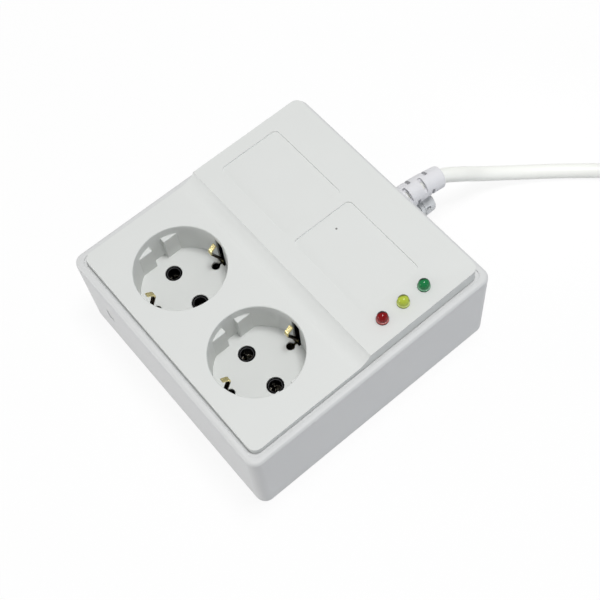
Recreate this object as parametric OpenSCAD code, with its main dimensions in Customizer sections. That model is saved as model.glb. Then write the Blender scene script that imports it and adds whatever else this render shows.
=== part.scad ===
// Appliance voltage protector with two earthed sockets, three lights, a fuse holder and a mains cord.
// Lengths in millimetres. X runs from the socket side to the cord side, Z is up, the tray stands on z = 0.

/* [Housing] */
// Outside length along X
body_l = 127; // [126:0.5:130]
// Outside width along Y
body_w = 124.5; // [124:0.5:128]
// Height of the tray rim
rim_h = 45.7; // [44.5:0.1:46.5]
// Thickness of the tray wall
tray_wall = 2.6; // [2.2:0.1:2.8]
// Radius of the upright corners
corner_r = 4.8; // [4:0.2:6]
// Width of the rim seen from above
rim_t = 3.9; // [3.7:0.1:4.0]
// Width of the groove between rim and cover
groove = 0.7; // [0.5:0.1:0.8]

/* [Cover] */
// Height of the socket panel above the rim
low_rise = 2.7; // [2.4:0.1:3.2]
// Height of the label panel above the socket panel
high_rise = 4.2; // [3.8:0.1:4.8]
// Start of the step on the socket panel
step_x = -6.7; // [-7:0.1:-6]
// Radius of the curved step
step_r = 8.1; // [8:0.1:8.6]
// Thickness of the cover plate
cover_t = 2.5; // [2:0.1:2.8]
// Depth of the label recesses
label_deep = 0.5; // [0.3:0.1:0.8]

/* [Sockets] */
// Radius of a socket recess
well_r = 20; // [19.8:0.1:20.3]
// Depth of a socket recess
well_deep = 18.4; // [18:0.1:18.6]
// Distance between the two pins of a plug
pin_pitch = 19; // [18.8:0.1:19.2]
// Inner radius of a pin contact
contact_r = 2.44; // [2.42:0.01:2.45]
// Distance of the middle of the sockets from the socket side
socket_in = 32.2; // [31.9:0.1:32.5]
// Centre of the rear socket along Y
socket_rear_y = 26.5; // [26:0.1:27]
// Centre of the front socket along Y
socket_front_y = -24.8; // [-25.2:0.1:-24.4]

/* [Lights] */
// Radius of a light
light_r = 2.5; // [2.4:0.05:2.6]
// Distance of the lights from the front side
light_in = 13; // [12.8:0.05:13.2]
// Distance between neighbouring lights
light_pitch = 11.15; // [11:0.05:11.3]
// Distance of the first light from the cord side
light_back = 49.1; // [48.9:0.1:49.3]

/* [Cord] */
// Radius of the cord
cord_r = 3.5; // [3.4:0.05:3.6]
// Middle radius of the coil
coil_r = 38.5; // [37:0.5:41]

/* [Hidden] */
// Clearance between curved faces
gap = 0.3;
// Heights of the socket panel and of the label panel
low_h = rim_h + low_rise;
high_h = low_h + high_rise;
// Cord side of the tray, middle of the sockets and first light
wall_x = body_l / 2;
socket_x = socket_in - body_l / 2;
light_x = wall_x - light_back;
light_y = light_in - body_w / 2;
// Height of the middle of the cord entry
cord_z = 28.4;
// Position of the cord entry along Y
cord_y = -1.8;
// Position of the fuse holder
fuse_y = -4;
fuse_z = 16.1;
// Angle, radius and start of the bend of the cord sleeve
bend_a = 11;
bend_r = 112;
bend_x = body_l / 2 + 4.5;
bend_turn = 40;
// Outer radius of the cord sleeve
sleeve_r = 5.65;
// Angles of the slots of the cord sleeve along the bend
slot_angles = [0.83, 2.79, 5.17, 7.24];
// Thickness of the tray floor
floor_t = 2.6;
// Inset of the cover from the outside of the tray
cover_in = rim_t + groove;
// Thickness of the cover skirt
skirt_t = 2;
// Height where the cover rests on the ribs of the tray
seat_z = rim_h - 3;
// Socket floor, top and underside
well_z = low_h - well_deep;
well_floor = 2.5;
cup_z = well_z - well_floor;
// Wall of a socket cup
cup_t = 2;
// Height of the underside of the carriers
bus_z = 12;
bus_t = 0.8;
// Outer radius of a pin contact and radius of a pin hole
contact_o = 3.3;
pin_hole = 3.77;
// Top of the pin contacts, and the collars around them in the pin holes
contact_top = cup_z - 4;
collar_top = cup_z + 2.1;
collar_o = 3.5;
collar_r = 2.75;
// Inside distance of the earth clips from the middle of a socket
earth_x = well_r - 0.8;
earth_t = 0.8;
earth_w = 2.2;
rail_z = 18.4;
// Sideways offset of the contact strips
bus_off = 7;
bus_w = 5;
// Circuit board, kept at its distance from the cord side and the front side
board_l = 40;
board_w = 95;
board_x = wall_x - 20.5 - board_l / 2;
board_y = 8.25 + board_w / 2 - body_w / 2;
board_z = 24;
board_t = 1.6;
board_top = board_z + board_t;
// Height of the relay and of the transformer core under the cover
relay_h = high_h - cover_t - 4.5 - board_top;
core_h = high_h - cover_t - 6.5 - board_top;
// Corner of the terminal block
block_x = board_x + 13.4;
block_y = board_y + 14.5;
// Screw post positions
post_x = body_l / 2 - 11.5;
post_y = body_w / 2 - 11.25;
// Coil and plug places on the floor
coil_x = 227;
coil_y = -46;
tail_x = coil_x + coil_r + cord_r;
plug_y = 34;
plug_r = 18.6;
plug_h = 24;
plug_cord_z = 11;
// Radius and straight length of a plug pin, its neck, and its root in the plug
pin_r = 2.4;
pin_l = 16.6;
neck_l = 0.4;
root_r = 1.9;
root_l = 6;
// Number of flat sides of the cord
cord_sides = 12;
// Steps between two route points
cord_steps = 3;
// Colours
white = [0.87, 0.88, 0.87];
grey = [0.74, 0.75, 0.77];
black = [0.08, 0.08, 0.09];
brass = [0.80, 0.62, 0.30];
steel = [0.70, 0.71, 0.73];

// The node to draw, or all of them

// Hand-chosen points of the cord from the sleeve to the coil
run_points = [[99.5, -6.6, 22.2], [112, -9, 12.5], [128, -16.5, 5.6], [143, -27.4, 3.7], [158.6, -41, 3.5],
    [179, -59.2, 3.5]];
// Hand-chosen points of the cord from the top of the coil to the plug
tail_points = [[265.6, -59, 24.5], [268.2, -52, 24.5], [tail_x, -44, 24.2], [tail_x, -33, 21.4],
    [tail_x, -20, 13.8], [tail_x, -13, 11.4]];

// Flat rounded rectangle centred on the origin
module plate(l, w, r) {
  square([l - 2 * r, w], center = true);
  square([l, w - 2 * r], center = true);
  for (x = [-1, 1], y = [-1, 1])
    translate([x * (l / 2 - r), y * (w / 2 - r)])
      circle(r = r, $fn = 40);
}

// Upright rounded box from height z0 to z1
module upright(l, w, r, z0, z1) {
  translate([0, 0, z0])
    linear_extrude(height = z1 - z0)
      plate(l, w, r);
}

// Outer half of a section with rounded top and bottom edges
module edge_section(d, h, top, bottom) {
  difference() {
    square([d, h]);
    difference() {
      translate([d - top, h - top])
        square([top + 1, top + 1]);
      translate([d - top, h - top])
        circle(r = top, $fn = 32);
    }
    difference() {
      translate([d - bottom, -1])
        square([bottom + 1, bottom + 1]);
      translate([d - bottom, bottom])
        circle(r = bottom, $fn = 32);
    }
  }
}

// Box with upright corners of radius r and rounded top and bottom edges
module soft_box(l, w, h, r, top, bottom) {
  translate([-l / 2 + r, -w / 2 + r, 0])
    cube([l - 2 * r, w - 2 * r, h]);
  for (s = [0, 180]) {
    rotate([0, 0, s])
      translate([l / 2 - r, w / 2 - r, 0])
        rotate([90, 0, 0])
          linear_extrude(height = w - 2 * r)
            edge_section(r, h, top, bottom);
    rotate([0, 0, s])
      translate([-l / 2 + r, w / 2 - r, 0])
        rotate([90, 0, 90])
          linear_extrude(height = l - 2 * r)
            edge_section(r, h, top, bottom);
  }
  for (x = [-1, 1], y = [-1, 1])
    translate([x * (l / 2 - r), y * (w / 2 - r), 0])
      rotate_extrude($fn = 40)
        edge_section(r, h, top, bottom);
}

// Cylinder along X starting at x
module bar_x(x, y, z, r, l) {
  translate([x, y, z])
    rotate([0, 90, 0])
      cylinder(r = r, h = l, $fn = 40);
}

// Position at an angle of the bend of the cord sleeve, X along the cord
module on_bend(a) {
  translate([bend_x, cord_y, cord_z])
    rotate([bend_turn, 0, 0])
      translate([0, -bend_r, 0])
        rotate([0, 0, -a])
          translate([0, bend_r, 0])
            children();
}

// Bent round bar between two angles of the bend
module bent_bar(a0, a1, r) {
  translate([bend_x, cord_y, cord_z])
    rotate([bend_turn, 0, 0])
      translate([0, -bend_r, 0])
        rotate([0, 0, 90 - a1])
          rotate_extrude(angle = a1 - a0, $fn = 96)
            translate([bend_r, 0])
              circle(r = r, $fn = 40);
}

// Screw with a round head at the origin, shank downwards
module screw(head_r, head_h, shank_r, shank_l) {
  difference() {
    union() {
      cylinder(r = head_r, h = head_h, $fn = 32);
      translate([0, 0, -shank_l])
        cylinder(r = shank_r, h = shank_l + 0.1, $fn = 24);
    }
    for (a = [0, 90])
      rotate([0, 0, a])
        translate([-head_r * 0.6, -0.4, head_h - 1])
          cube([head_r * 1.2, 0.8, 2]);
  }
}

// Children at the four cover posts
module at_posts() {
  for (x = [-1, 1], y = [-1, 1])
    translate([x * post_x, y * post_y, 0])
      children();
}

// Children at the four board posts
module at_board() {
  for (p = [[-16.5, -44.5], [16.5, -35.5], [-16.5, 43.5], [16.5, 43.5]])
    translate([board_x + p[0], board_y + p[1], 0])
      children();
}

// Children at the middle of both sockets
module at_sockets() {
  for (y = [socket_rear_y, socket_front_y])
    translate([socket_x, y, 0])
      children();
}

// Support ribs along the inside of the tray wall
module tray_ribs() {
  deep = cover_in + skirt_t + 0.3 - tray_wall;
  for (y = [-30, 30], s = [-1, 1])
    translate([s * (body_l / 2 - tray_wall - deep / 2 + 0.1) , y, seat_z / 2 + 0.5])
      cube([deep + 0.2, 2.4, seat_z - 1], center = true);
  for (x = [-36, 0, 36], s = [-1, 1])
    translate([x, s * (body_w / 2 - tray_wall - deep / 2 + 0.1), seat_z / 2 + 0.5])
      cube([2.4, deep + 0.2, seat_z - 1], center = true);
}

// Tray with its rim, ribs, posts and openings
module base_tray() {
  color(grey)
    difference() {
      union() {
        difference() {
          soft_box(body_l, body_w, rim_h, corner_r, 1.5, 1);
          upright(body_l - 2 * tray_wall, body_w - 2 * tray_wall, corner_r - 1.6, floor_t, rim_h - 8);
          upright(body_l - 2 * rim_t, body_w - 2 * rim_t, corner_r - 1.6, rim_h - 9, rim_h + 1);
        }
        tray_ribs();
        at_posts()
          cylinder(r = 4.8, h = 9, $fn = 40);
        at_board()
          translate([0, 0, 1])
            cylinder(r = 3.4, h = board_z - 1, $fn = 32);
        for (s = [-1, 1], y = [socket_rear_y, socket_front_y])
          translate([socket_x + s * (earth_x + earth_t / 2), y, 1])
            cylinder(r = 2.2, h = rail_z - 1, $fn = 24);
        for (s = [-1, 1], y = [socket_rear_y, socket_front_y])
          translate([socket_x + s * bus_off - bus_w / 2, y - 4, 1])
            cube([bus_w, 8, bus_z - bus_t - 1]);
        translate([body_l / 2 - 13.5, cord_y - 15.5, 1])
          cube([4, 28, cord_z - cord_r - 1.1]);
      }
      at_posts() {
        translate([0, 0, -1])
          cylinder(r = 3.5, h = 6, $fn = 32);
        cylinder(r = 1.8, h = 20, $fn = 24);
      }
      at_board()
        translate([0, 0, 12])
          cylinder(r = 1.5, h = 20, $fn = 24);
      bar_x(body_l / 2 - 10, cord_y, cord_z, 5.2, 20);
      bar_x(body_l / 2 - 10, fuse_y, fuse_z, 5.3, 20);
      bar_x(body_l / 2 - 15, fuse_y, fuse_z, 6.4, 8);
      bar_x(body_l / 2 - 15, cord_y, cord_z, cord_r + gap, 8);
      for (y = [-12.5, 9.5])
        translate([body_l / 2 - 11.5, cord_y + y, 12])
          cylinder(r = 1.3, h = 20, $fn = 20);
      translate([-body_l / 2 - 1, 39, 20.4])
        cube([tray_wall + 2, 4, 7.4]);
    }
}

// Shape of the outside of the cover, low panel and high panel with a curved step
module cover_outside() {
  l = body_l - 2 * cover_in;
  w = body_w - 2 * cover_in;
  translate([0, 0, seat_z])
    soft_box(l, w, low_h - seat_z, 3.8, 1.2, 0.2);
  difference() {
    translate([0, 0, seat_z])
      soft_box(l, w, high_h - seat_z, 3.8, 1.2, 0.2);
    translate([step_x, 0, low_h + step_r])
      rotate([90, 0, 0])
        cylinder(r = step_r, h = 2 * body_w, center = true, $fn = 96);
    translate([-body_l, -body_w, low_h])
      cube([body_l + step_x, 2 * body_w, 20]);
  }
}

// Solid that fills the inside of the cover
module cover_inside() {
  l = body_l - 2 * cover_in - 2 * skirt_t;
  w = body_w - 2 * cover_in - 2 * skirt_t;
  upright(l, w, 1.8, seat_z - 1, low_h - cover_t);
  intersection() {
    upright(l, w, 1.8, seat_z - 1, high_h - cover_t);
    translate([step_x + step_r, -body_w, 0])
      cube([body_l, 2 * body_w, 2 * body_w]);
  }
}

// One guide lug pair at an end of a socket recess
module guide_lugs() {
  for (x = [-1, 1])
    translate([x * 6.6 - 3.6, well_r - 2.8, 0])
      cube([7.2, 4, low_h - 5 - well_z + 0.1]);
}

// One socket cup, hollow, with its lugs
module socket_cup() {
  difference() {
    translate([0, 0, cup_z])
      cylinder(r = well_r + cup_t, h = low_h - 1 - cup_z, $fn = 72);
    translate([0, 0, well_z])
      cylinder(r = well_r, h = 40, $fn = 72);
  }
  intersection() {
    translate([0, 0, well_z - 0.1])
      for (a = [0, 180])
        rotate([0, 0, a])
          guide_lugs();
    translate([0, 0, cup_z])
      cylinder(r = well_r + 0.5, h = 40, $fn = 72);
  }
}

// Hollows of one socket: recess with a soft rim, pin holes, clip slots
module socket_hollow() {
  translate([0, 0, low_h - cover_t - 0.6])
    cylinder(r = well_r, h = 40, $fn = 72);
  translate([0, 0, low_h - 0.6])
    rotate_extrude($fn = 72)
      difference() {
        square([well_r + 0.6, 1]);
        translate([well_r + 0.6, 0])
          circle(r = 0.6, $fn = 24);
      }
  for (y = [-1, 1])
    translate([0, y * pin_pitch / 2, cup_z - 1])
      cylinder(r = pin_hole, h = 10, $fn = 40);
  for (x = [-1, 1])
    translate([x * 16, 0, cup_z - 1])
      cylinder(r = 1.75, h = 10, $fn = 24);
  for (a = [0, 180])
    rotate([0, 0, a])
      translate([earth_x - 0.5, -2.5, cup_z - 1]) {
        cube([5, 5, low_h - 3.2 - cup_z + 1]);
        translate([-2.7, 1.6, 0])
          cube([3, 1.3, 5]);
      }
}

// Rounded label recess between two corners
module label_recess(y0, y1) {
  translate([wall_x - 37.8, (y0 + y1) / 2, high_h - label_deep])
    linear_extrude(height = 2)
      plate(31, y1 - y0, 2.5);
}

// Stepped cover with two socket cups, label recesses, screw posts and a latch tongue
module top_cover() {
  color(white) {
    difference() {
      union() {
        difference() {
          cover_outside();
          cover_inside();
        }
        at_sockets()
          socket_cup();
        intersection() {
          at_posts()
            translate([0, 0, 9])
              cylinder(r = 3.6, h = low_h - 9 - 1, $fn = 32);
          upright(body_l, body_w, 4, 0, high_h - 1);
        }
        for (y = [-1, 1])
          translate([post_x, y * post_y, low_h - 3])
            cylinder(r = 3.6, h = high_h - low_h + 2, $fn = 32);
        translate([-body_l / 2 + cover_in + 0.2, 39.3, 20.7])
          cube([1.7, 3.4, seat_z - 19.7]);
        translate([-body_l / 2 + 1.2, 39.3, 22.4])
          cube([4, 3.4, 3.4]);
      }
      at_sockets()
        socket_hollow();
      at_posts()
        translate([0, 0, 8])
          cylinder(r = 1.8, h = 14, $fn = 24);
      label_recess(6.5, body_w / 2 - 11.05);
      label_recess(light_y + 7.05, 2.2);
      for (i = [0, 1, 2])
        translate([light_x + i * light_pitch, light_y, high_h - 10])
          cylinder(r = light_r + 0.3, h = 20, $fn = 32);
    }
  }
}

// Four countersunk screws of the cover, driven from beneath
module cover_screws() {
  color(steel)
    at_posts()
      translate([0, 0, 5])
        rotate([180, 0, 0])
          screw(3.1, 2.2, 1.5, 15);
}

// One indicator light with its two leads
module light(i, c) {
  color(c)
    translate([light_x + i * light_pitch, light_y, high_h]) {
      cylinder(r = light_r + 0.4, h = 1, $fn = 40);
      cylinder(r = light_r, h = 2.1, $fn = 40);
      translate([0, 0, 2.1])
        intersection() {
          sphere(r = light_r, $fn = 40);
          cylinder(r = light_r + 1, h = light_r + 1, $fn = 40);
        }
      for (x = [-1.27, 1.27])
        translate([x - 0.25, -0.25, board_z - 1.2 - high_h])
          cube([0.5, 0.5, high_h - board_z + 1.6]);
    }
}

// Red light
module light_red() {
  light(0, [0.55, 0.03, 0.05]);
}

// Yellow light
module light_yellow() {
  light(1, [0.66, 0.68, 0.05]);
}

// Green light
module light_green() {
  light(2, [0.02, 0.42, 0.16]);
}

// Three spacers that carry the lights on the board
module light_spacers() {
  color([0.9, 0.9, 0.88])
    for (i = [0, 1, 2])
      translate([light_x + i * light_pitch, light_y, board_top])
        difference() {
          cylinder(r = light_r, h = high_h - board_top, $fn = 32);
          for (x = [-1.27, 1.27])
            translate([x, 0, -1])
              cylinder(r = 0.65, h = 60, $fn = 16);
        }
}

// Circuit board with its holes
module circuit_board() {
  color([0.10, 0.36, 0.20])
    difference() {
      translate([board_x - board_l / 2, board_y - board_w / 2, board_z])
        cube([board_l, board_w, board_t]);
      at_board()
        translate([0, 0, board_z - 1])
          cylinder(r = 1.7, h = 5, $fn = 24);
      for (i = [0, 1, 2], x = [-1.27, 1.27])
        translate([light_x + i * light_pitch + x, light_y, board_z - 1])
          cylinder(r = 0.65, h = 5, $fn = 16);
    }
}

// Four screws of the board
module board_screws() {
  color(steel)
    at_board()
      translate([0, 0, board_top])
        screw(2.7, 2, 1.2, 9);
}

// Relay that switches the sockets
module relay() {
  color([0.12, 0.14, 0.30])
    translate([board_x, board_y + 28.5, board_top])
      upright(25, 30, 1.2, 0, relay_h);
}

// Iron core of the transformer
module transformer_core() {
  color([0.32, 0.32, 0.34])
    translate([board_x - 2, board_y - 15.5, board_top + 3])
      difference() {
        translate([-15.5, -6, 0])
          cube([31, 12, core_h]);
        for (x = [-10.2, 4.8])
          translate([x, -7, 3])
            cube([5.4, 14, core_h - 6]);
      }
}

// Bobbin of the transformer with its winding
module transformer_bobbin() {
  color([0.16, 0.30, 0.42])
    translate([board_x - 2, board_y - 15.5, board_top])
      difference() {
        union() {
          translate([-10, -13, 6.2])
            cube([20, 26, core_h - 6.4]);
          translate([-13, -13, 0])
            cube([26, 26, 2.9]);
          for (y = [-13, 7])
            translate([-10, y, 2])
              cube([20, 6, 6]);
        }
        translate([-5, -6.1, 1])
          cube([10, 12.2, core_h + 2]);
        for (x = [-16, 10.1])
          translate([x, -6.1, 2.95])
            cube([5.9, 12.2, core_h + 2]);
        translate([-16, -6.1, 2.95])
          cube([32, 12.2, 3.15]);
        translate([-16, -6.1, core_h - 0.1])
          cube([32, 12.2, 4]);
      }
}

// Standing electrolytic capacitor
module smoothing_capacitor() {
  color([0.10, 0.12, 0.28])
    translate([board_x - 11.5, board_y + 5.7, board_top])
      rotate_extrude($fn = 40)
        difference() {
          square([5, 13]);
          translate([5, 11])
            circle(r = 0.4, $fn = 16);
        }
}

// Boxed film capacitor
module film_capacitor() {
  color([0.80, 0.68, 0.16])
    translate([board_x + 3, board_y + 5.5, board_top])
      upright(17, 8, 0.8, 0, 14);
}

// Varistor disc with its two legs
module varistor() {
  color([0.10, 0.22, 0.46]) {
    bar_x(board_x + 13.6, board_y + 5.5, board_top + 8, 5, 3.6);
    for (y = [3, 8.5])
      translate([board_x + 15, board_y + y, board_top])
        cube([0.8, 0.8, 6]);
  }
}

// Control chip
module controller_chip() {
  color(black)
    translate([board_x, board_y - 36.1, board_top]) {
      translate([-4.8, -3.1, 0.6])
        cube([9.6, 6.2, 3.2]);
      for (x = [-3.81, -1.27, 1.27, 3.81], y = [-1, 1])
        translate([x - 0.3, y * 3.5 - 0.4, 0])
          cube([0.6, 0.8, 2.4]);
    }
}

// Screw terminal block with four ways
module terminal_block() {
  color([0.10, 0.42, 0.24])
    difference() {
      translate([block_x, block_y, board_top])
        cube([6.4, 26, 10]);
      for (y = [4, 10, 16, 22])
        translate([block_x + 2.8, block_y + y, board_top + 7])
          cylinder(r = 1.8, h = 6, $fn = 24);
    }
}

// Black carrier of the pin contacts of one socket
module carrier(y) {
  color(black)
    translate([socket_x, y, 0])
      difference() {
        union() {
          upright(22, 30, 2, bus_z, cup_z);
          for (s = [-1, 1])
            translate([0, s * pin_pitch / 2, cup_z - 1])
              cylinder(r = collar_o, h = collar_top - cup_z + 1, $fn = 40);
          for (s = [-1, 1])
            translate([-2, s * 14 - 1, floor_t])
              cube([4, 2, bus_z - floor_t + 0.5]);
        }
        for (s = [-1, 1])
          translate([0, s * pin_pitch / 2, bus_z - 1]) {
            cylinder(r = collar_r, h = 30, $fn = 40);
            cylinder(r = collar_o + 0.2, h = contact_top - bus_z + 2, $fn = 40);
          }
      }
}

// Carrier under the rear socket
module carrier_rear() {
  carrier(socket_rear_y);
}

// Carrier under the front socket
module carrier_front() {
  carrier(socket_front_y);
}

// Strip with two slit sleeves that grip the pins, s is the side of the strip and of the pins
module contact_strip(s) {
  rear = socket_rear_y + s * pin_pitch / 2;
  front = socket_front_y + s * pin_pitch / 2;
  color(brass)
    difference() {
      union() {
        for (y = [rear, front])
          translate([socket_x, y, 0]) {
            translate([0, 0, bus_z - bus_t])
              cylinder(r = contact_o, h = contact_top - bus_z + bus_t, $fn = 40);
            translate([s > 0 ? -bus_off - bus_w / 2 : 0, -2.4, bus_z - bus_t])
              cube([bus_off + bus_w / 2, 4.8, bus_t]);
          }
        translate([socket_x - s * bus_off - bus_w / 2, front - 3, bus_z - bus_t])
          cube([bus_w, 47 - front + 3, bus_t]);
      }
      for (y = [rear, front])
        translate([socket_x, y, 0]) {
          cylinder(r = contact_r, h = 40, $fn = 40);
          translate([-0.5, -4, bus_z + 0.5])
            cube([1, 8, 30]);
        }
    }
}

// Line contacts of both sockets
module line_contacts() {
  contact_strip(1);
}

// Neutral contacts of both sockets
module neutral_contacts() {
  contact_strip(-1);
}

// Side view of one earth clip, drawn outwards along X and upwards along Y
module clip_section() {
  foot = cup_z + 4.5;
  top = low_h - 2.5;
  polygon([[earth_x, rail_z], [earth_x + earth_t, rail_z], [earth_x + earth_t, foot + 0.2],
    [15.4, top - 3.5], [15.6, top - 2.3], [18.3, top], [17.8, top + 0.6], [14.9, top - 1.8],
    [14.5, top - 3.6], [earth_x, foot]]);
}

// Earth strips with four spring clips and a cross link
module earth_contacts() {
  color(brass) {
    for (y = [socket_rear_y, socket_front_y], a = [0, 180])
      translate([socket_x, y, 0])
        rotate([0, 0, a])
          translate([0, earth_w / 2, 0])
            rotate([90, 0, 0])
              linear_extrude(height = earth_w)
                clip_section();
    for (s = [-1, 1])
      translate([socket_x + s * (earth_x + 0.4) - 3, socket_front_y - 3, rail_z])
        cube([6, socket_rear_y - socket_front_y + 6, earth_t]);
    translate([socket_x - earth_x, -2.1, rail_z])
      cube([2 * earth_x, 6, earth_t]);
  }
}

// Straight end of the cord sleeve, through the tray wall
module sleeve_collar() {
  x = body_l / 2;
  difference() {
    union() {
      bar_x(x - tray_wall - 2, cord_y, cord_z, 6, 2);
      bar_x(x - tray_wall - 0.5, cord_y, cord_z, 4.9, tray_wall + 1);
      bar_x(x, cord_y, cord_z, sleeve_r + 0.35, bend_x - x);
    }
    bar_x(x - 20, cord_y, cord_z, cord_r + 2 * gap, 30);
  }
}

// Cord sleeve with staggered slots
module cord_sleeve() {
  color(grey) {
    sleeve_collar();
    difference() {
      bent_bar(-0.8, bend_a, sleeve_r);
      bent_bar(-1.4, bend_a + 1, cord_r + gap);
      for (k = [0 : 3], s = [0, 180])
        on_bend(slot_angles[k])
          rotate([-bend_turn + (k % 2 == 0 ? 115 : 25) + s, 0, 0])
            translate([-0.5, 3, -4.2])
              cube([1, 5, 8.4]);
    }
  }
}

// Bar that clamps the cord inside the tray
module cord_clamp() {
  color(grey)
    difference() {
      translate([body_l / 2 - 13.5, cord_y - 15.5, cord_z - cord_r + 0.1])
        cube([4, 28, 10]);
      bar_x(body_l / 2 - 15, cord_y, cord_z, cord_r + gap, 8);
      translate([body_l / 2 - 14, cord_y - 4, cord_z - cord_r - 1])
        cube([5, 8, 4.5]);
      for (y = [-12.5, 9.5])
        translate([body_l / 2 - 11.5, cord_y + y, 20]) {
          cylinder(r = 1.6, h = 20, $fn = 24);
          translate([0, 0, 9])
            cylinder(r = 4, h = 20, $fn = 24);
        }
    }
}

// Two screws of the clamp
module clamp_screws() {
  color(steel)
    for (y = [-12.5, 9.5])
      translate([body_l / 2 - 11.5, cord_y + y, 29])
        screw(2.6, 2, 1, 13);
}

// Point on the middle of the bend at an angle
function bend_point(a) = [bend_x + bend_r * sin(a), cord_y - bend_r * (1 - cos(a)) * cos(bend_turn),
    cord_z - bend_r * (1 - cos(a)) * sin(bend_turn)];

// Direction of the bend at an angle
function bend_dir(a) = [cos(a), -sin(a) * cos(bend_turn), -sin(a) * sin(bend_turn)];

// End of the cord inside the tray and the sleeve
module cord_inner() {
  color(white)
    sweep(concat([[wall_x - 15.5, cord_y, cord_z]], [for (k = [0 : 6]) bend_point(bend_a * k / 6)]),
      [1, 0, 0], bend_dir(bend_a), cord_r);
}

// Points moved by a distance
function moved(points, d) = [for (p = points) p + d];

// Places that the routes of the single wires start from
from_wall = [wall_x, 0, 0];
from_block = [block_x + 6.4, block_y, board_top + 5];
from_sockets = [socket_x, socket_rear_y, 0];

// Routes of the single wires
line_in = moved([[-15.5, -3.6, 28], [-16.7, -3.6, 28], [-18.1, -4.4, 27.2], [-18.1, -9, 24.5],
    [-16.5, -13.2, 21], [-16, -13.6, 18], [-16, -13.6, 16.5]], from_wall);
line_fused = concat(moved([[-29.1, -5, 17.85], [-29.1, -3, 17.85], [-27.5, 4, 16.4], [-23.5, 10, 15]],
    from_wall),
    moved([[2, 7, -13.1], [3.2, 10, -4.6], [2.8, 10, 0], [0, 10, 0]], from_block));
line_out = concat(moved([[0, 22, 0], [2.8, 22, 0], [3.2, 22, -6.6], [2.4, 25, -18.6]], from_block),
    moved([[-21.5, 45, 8], [-33.5, 50, 7]], from_wall),
    moved([[1.3, 23.5, 7], [-5.7, 21.5, 7.6], [-bus_off, 18, 8.4], [-bus_off, 18, 11.2]], from_sockets));
neutral_in = concat(moved([[-15.5, -1.8, 30.6], [-16.7, -1.8, 30.6], [-18.1, 0, 31]], from_wall),
    moved([[2.4, 1, 0.4], [2.2, 4, 0], [0, 4, 0]], from_block));
neutral_out = concat(moved([[0, 16, 0], [2.8, 16, 0], [3.2, 16, -6.6], [1.7, 16, -16.6]], from_block),
    moved([[-33.5, 30, 8], [-43.5, 42.5, 7]], from_wall),
    moved([[11.3, 18, 7], [bus_off, 18, 8.4], [bus_off, 18, 11.2]], from_sockets));
earth_in = concat(moved([[-15.5, -0.4, 28], [-16.7, -0.4, 28], [-18.1, 1, 26.8], [-18.7, 4.5, 23],
    [-19.9, 6.2, 20.6], [-23.5, 6.4, 20.2]], from_wall),
    [for (p = [[35.3, 5.6], [25.3, 1], [17.3, 0.9]]) [socket_x + p[0], p[1], rail_z + 2.2]]);

// Line wire from the cord to the side terminal of the fuse
module wire_line_in() {
  color([0.36, 0.20, 0.12])
    wire(line_in, 1.2);
}

// Line wire from the fuse to the terminal block
module wire_line_fused() {
  color([0.36, 0.20, 0.12])
    wire(line_fused, 1.2);
}

// Switched line wire to the line contacts
module wire_line_out() {
  color([0.36, 0.20, 0.12])
    wire(line_out, 1.2);
}

// Neutral wire from the cord to the terminal block
module wire_neutral_in() {
  color([0.10, 0.22, 0.60])
    wire(neutral_in, 1.2);
}

// Neutral wire to the neutral contacts
module wire_neutral_out() {
  color([0.10, 0.22, 0.60])
    wire(neutral_out, 1.2);
}

// Earth wire to the earth strips
module wire_earth() {
  color([0.45, 0.60, 0.12])
    wire(earth_in, 1.2);
}

// Fuse holder barrel with a collar outside the wall
module fuse_holder() {
  x = body_l / 2;
  color(black)
    difference() {
      union() {
        bar_x(x, fuse_y, fuse_z, 6.3, 2);
        bar_x(x + 1.9, fuse_y, fuse_z, 5.5, 9);
        bar_x(x - 25.5, fuse_y, fuse_z, 5, 26);
      }
      bar_x(x - 3.5, fuse_y, fuse_z, 4.3, 20);
      bar_x(x - 22.5, fuse_y, fuse_z, 2.9, 30);
      bar_x(x - 30, fuse_y, fuse_z, 1.2, 20);
      bar_x(x + 6, fuse_y, fuse_z, 5, 2);
      translate([x + 6, fuse_y - 1, fuse_z - 5])
        cube([8, 2, 10]);
    }
}

// Hexagon nut inside the wall
module fuse_nut() {
  color(black)
    translate([body_l / 2 - tray_wall - 4, fuse_y, fuse_z])
      rotate([0, 90, 0])
        rotate([0, 0, 30])
          difference() {
            cylinder(r = 6.9, h = 4, $fn = 6);
            translate([0, 0, -1])
              cylinder(r = 5.3, h = 6, $fn = 40);
          }
}

// Rear terminal of the fuse
module fuse_terminal_rear() {
  color(brass) {
    bar_x(wall_x - 22.4, fuse_y, fuse_z, 2.6, 1.2);
    bar_x(wall_x - 26.5, fuse_y, fuse_z, 0.9, 4.5);
    translate([wall_x - 31, fuse_y - 1.5, fuse_z - 0.3])
      cube([5, 3, 0.8]);
  }
}

// Side terminal ring of the fuse
module fuse_terminal_side() {
  color(brass)
    difference() {
      union() {
        bar_x(wall_x - 17.5, fuse_y, fuse_z, 6, 3);
        translate([wall_x - 17.5, fuse_y - 11, fuse_z - 0.4])
          cube([3, 6, 0.8]);
      }
      bar_x(wall_x - 18.5, fuse_y, fuse_z, 5.3, 5);
    }
}

// Glass tube of the fuse
module fuse_tube() {
  color([0.85, 0.90, 0.90])
    bar_x(wall_x - 20.2, fuse_y, fuse_z, 2.2, 18.4);
}

// Metal ends of the fuse
module fuse_ends() {
  color(steel)
    difference() {
      for (x = [-21, -6])
        bar_x(wall_x + x, fuse_y, fuse_z, 2.6, 5);
      bar_x(wall_x - 20.2, fuse_y, fuse_z, 2.25, 18.4);
    }
}

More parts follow.
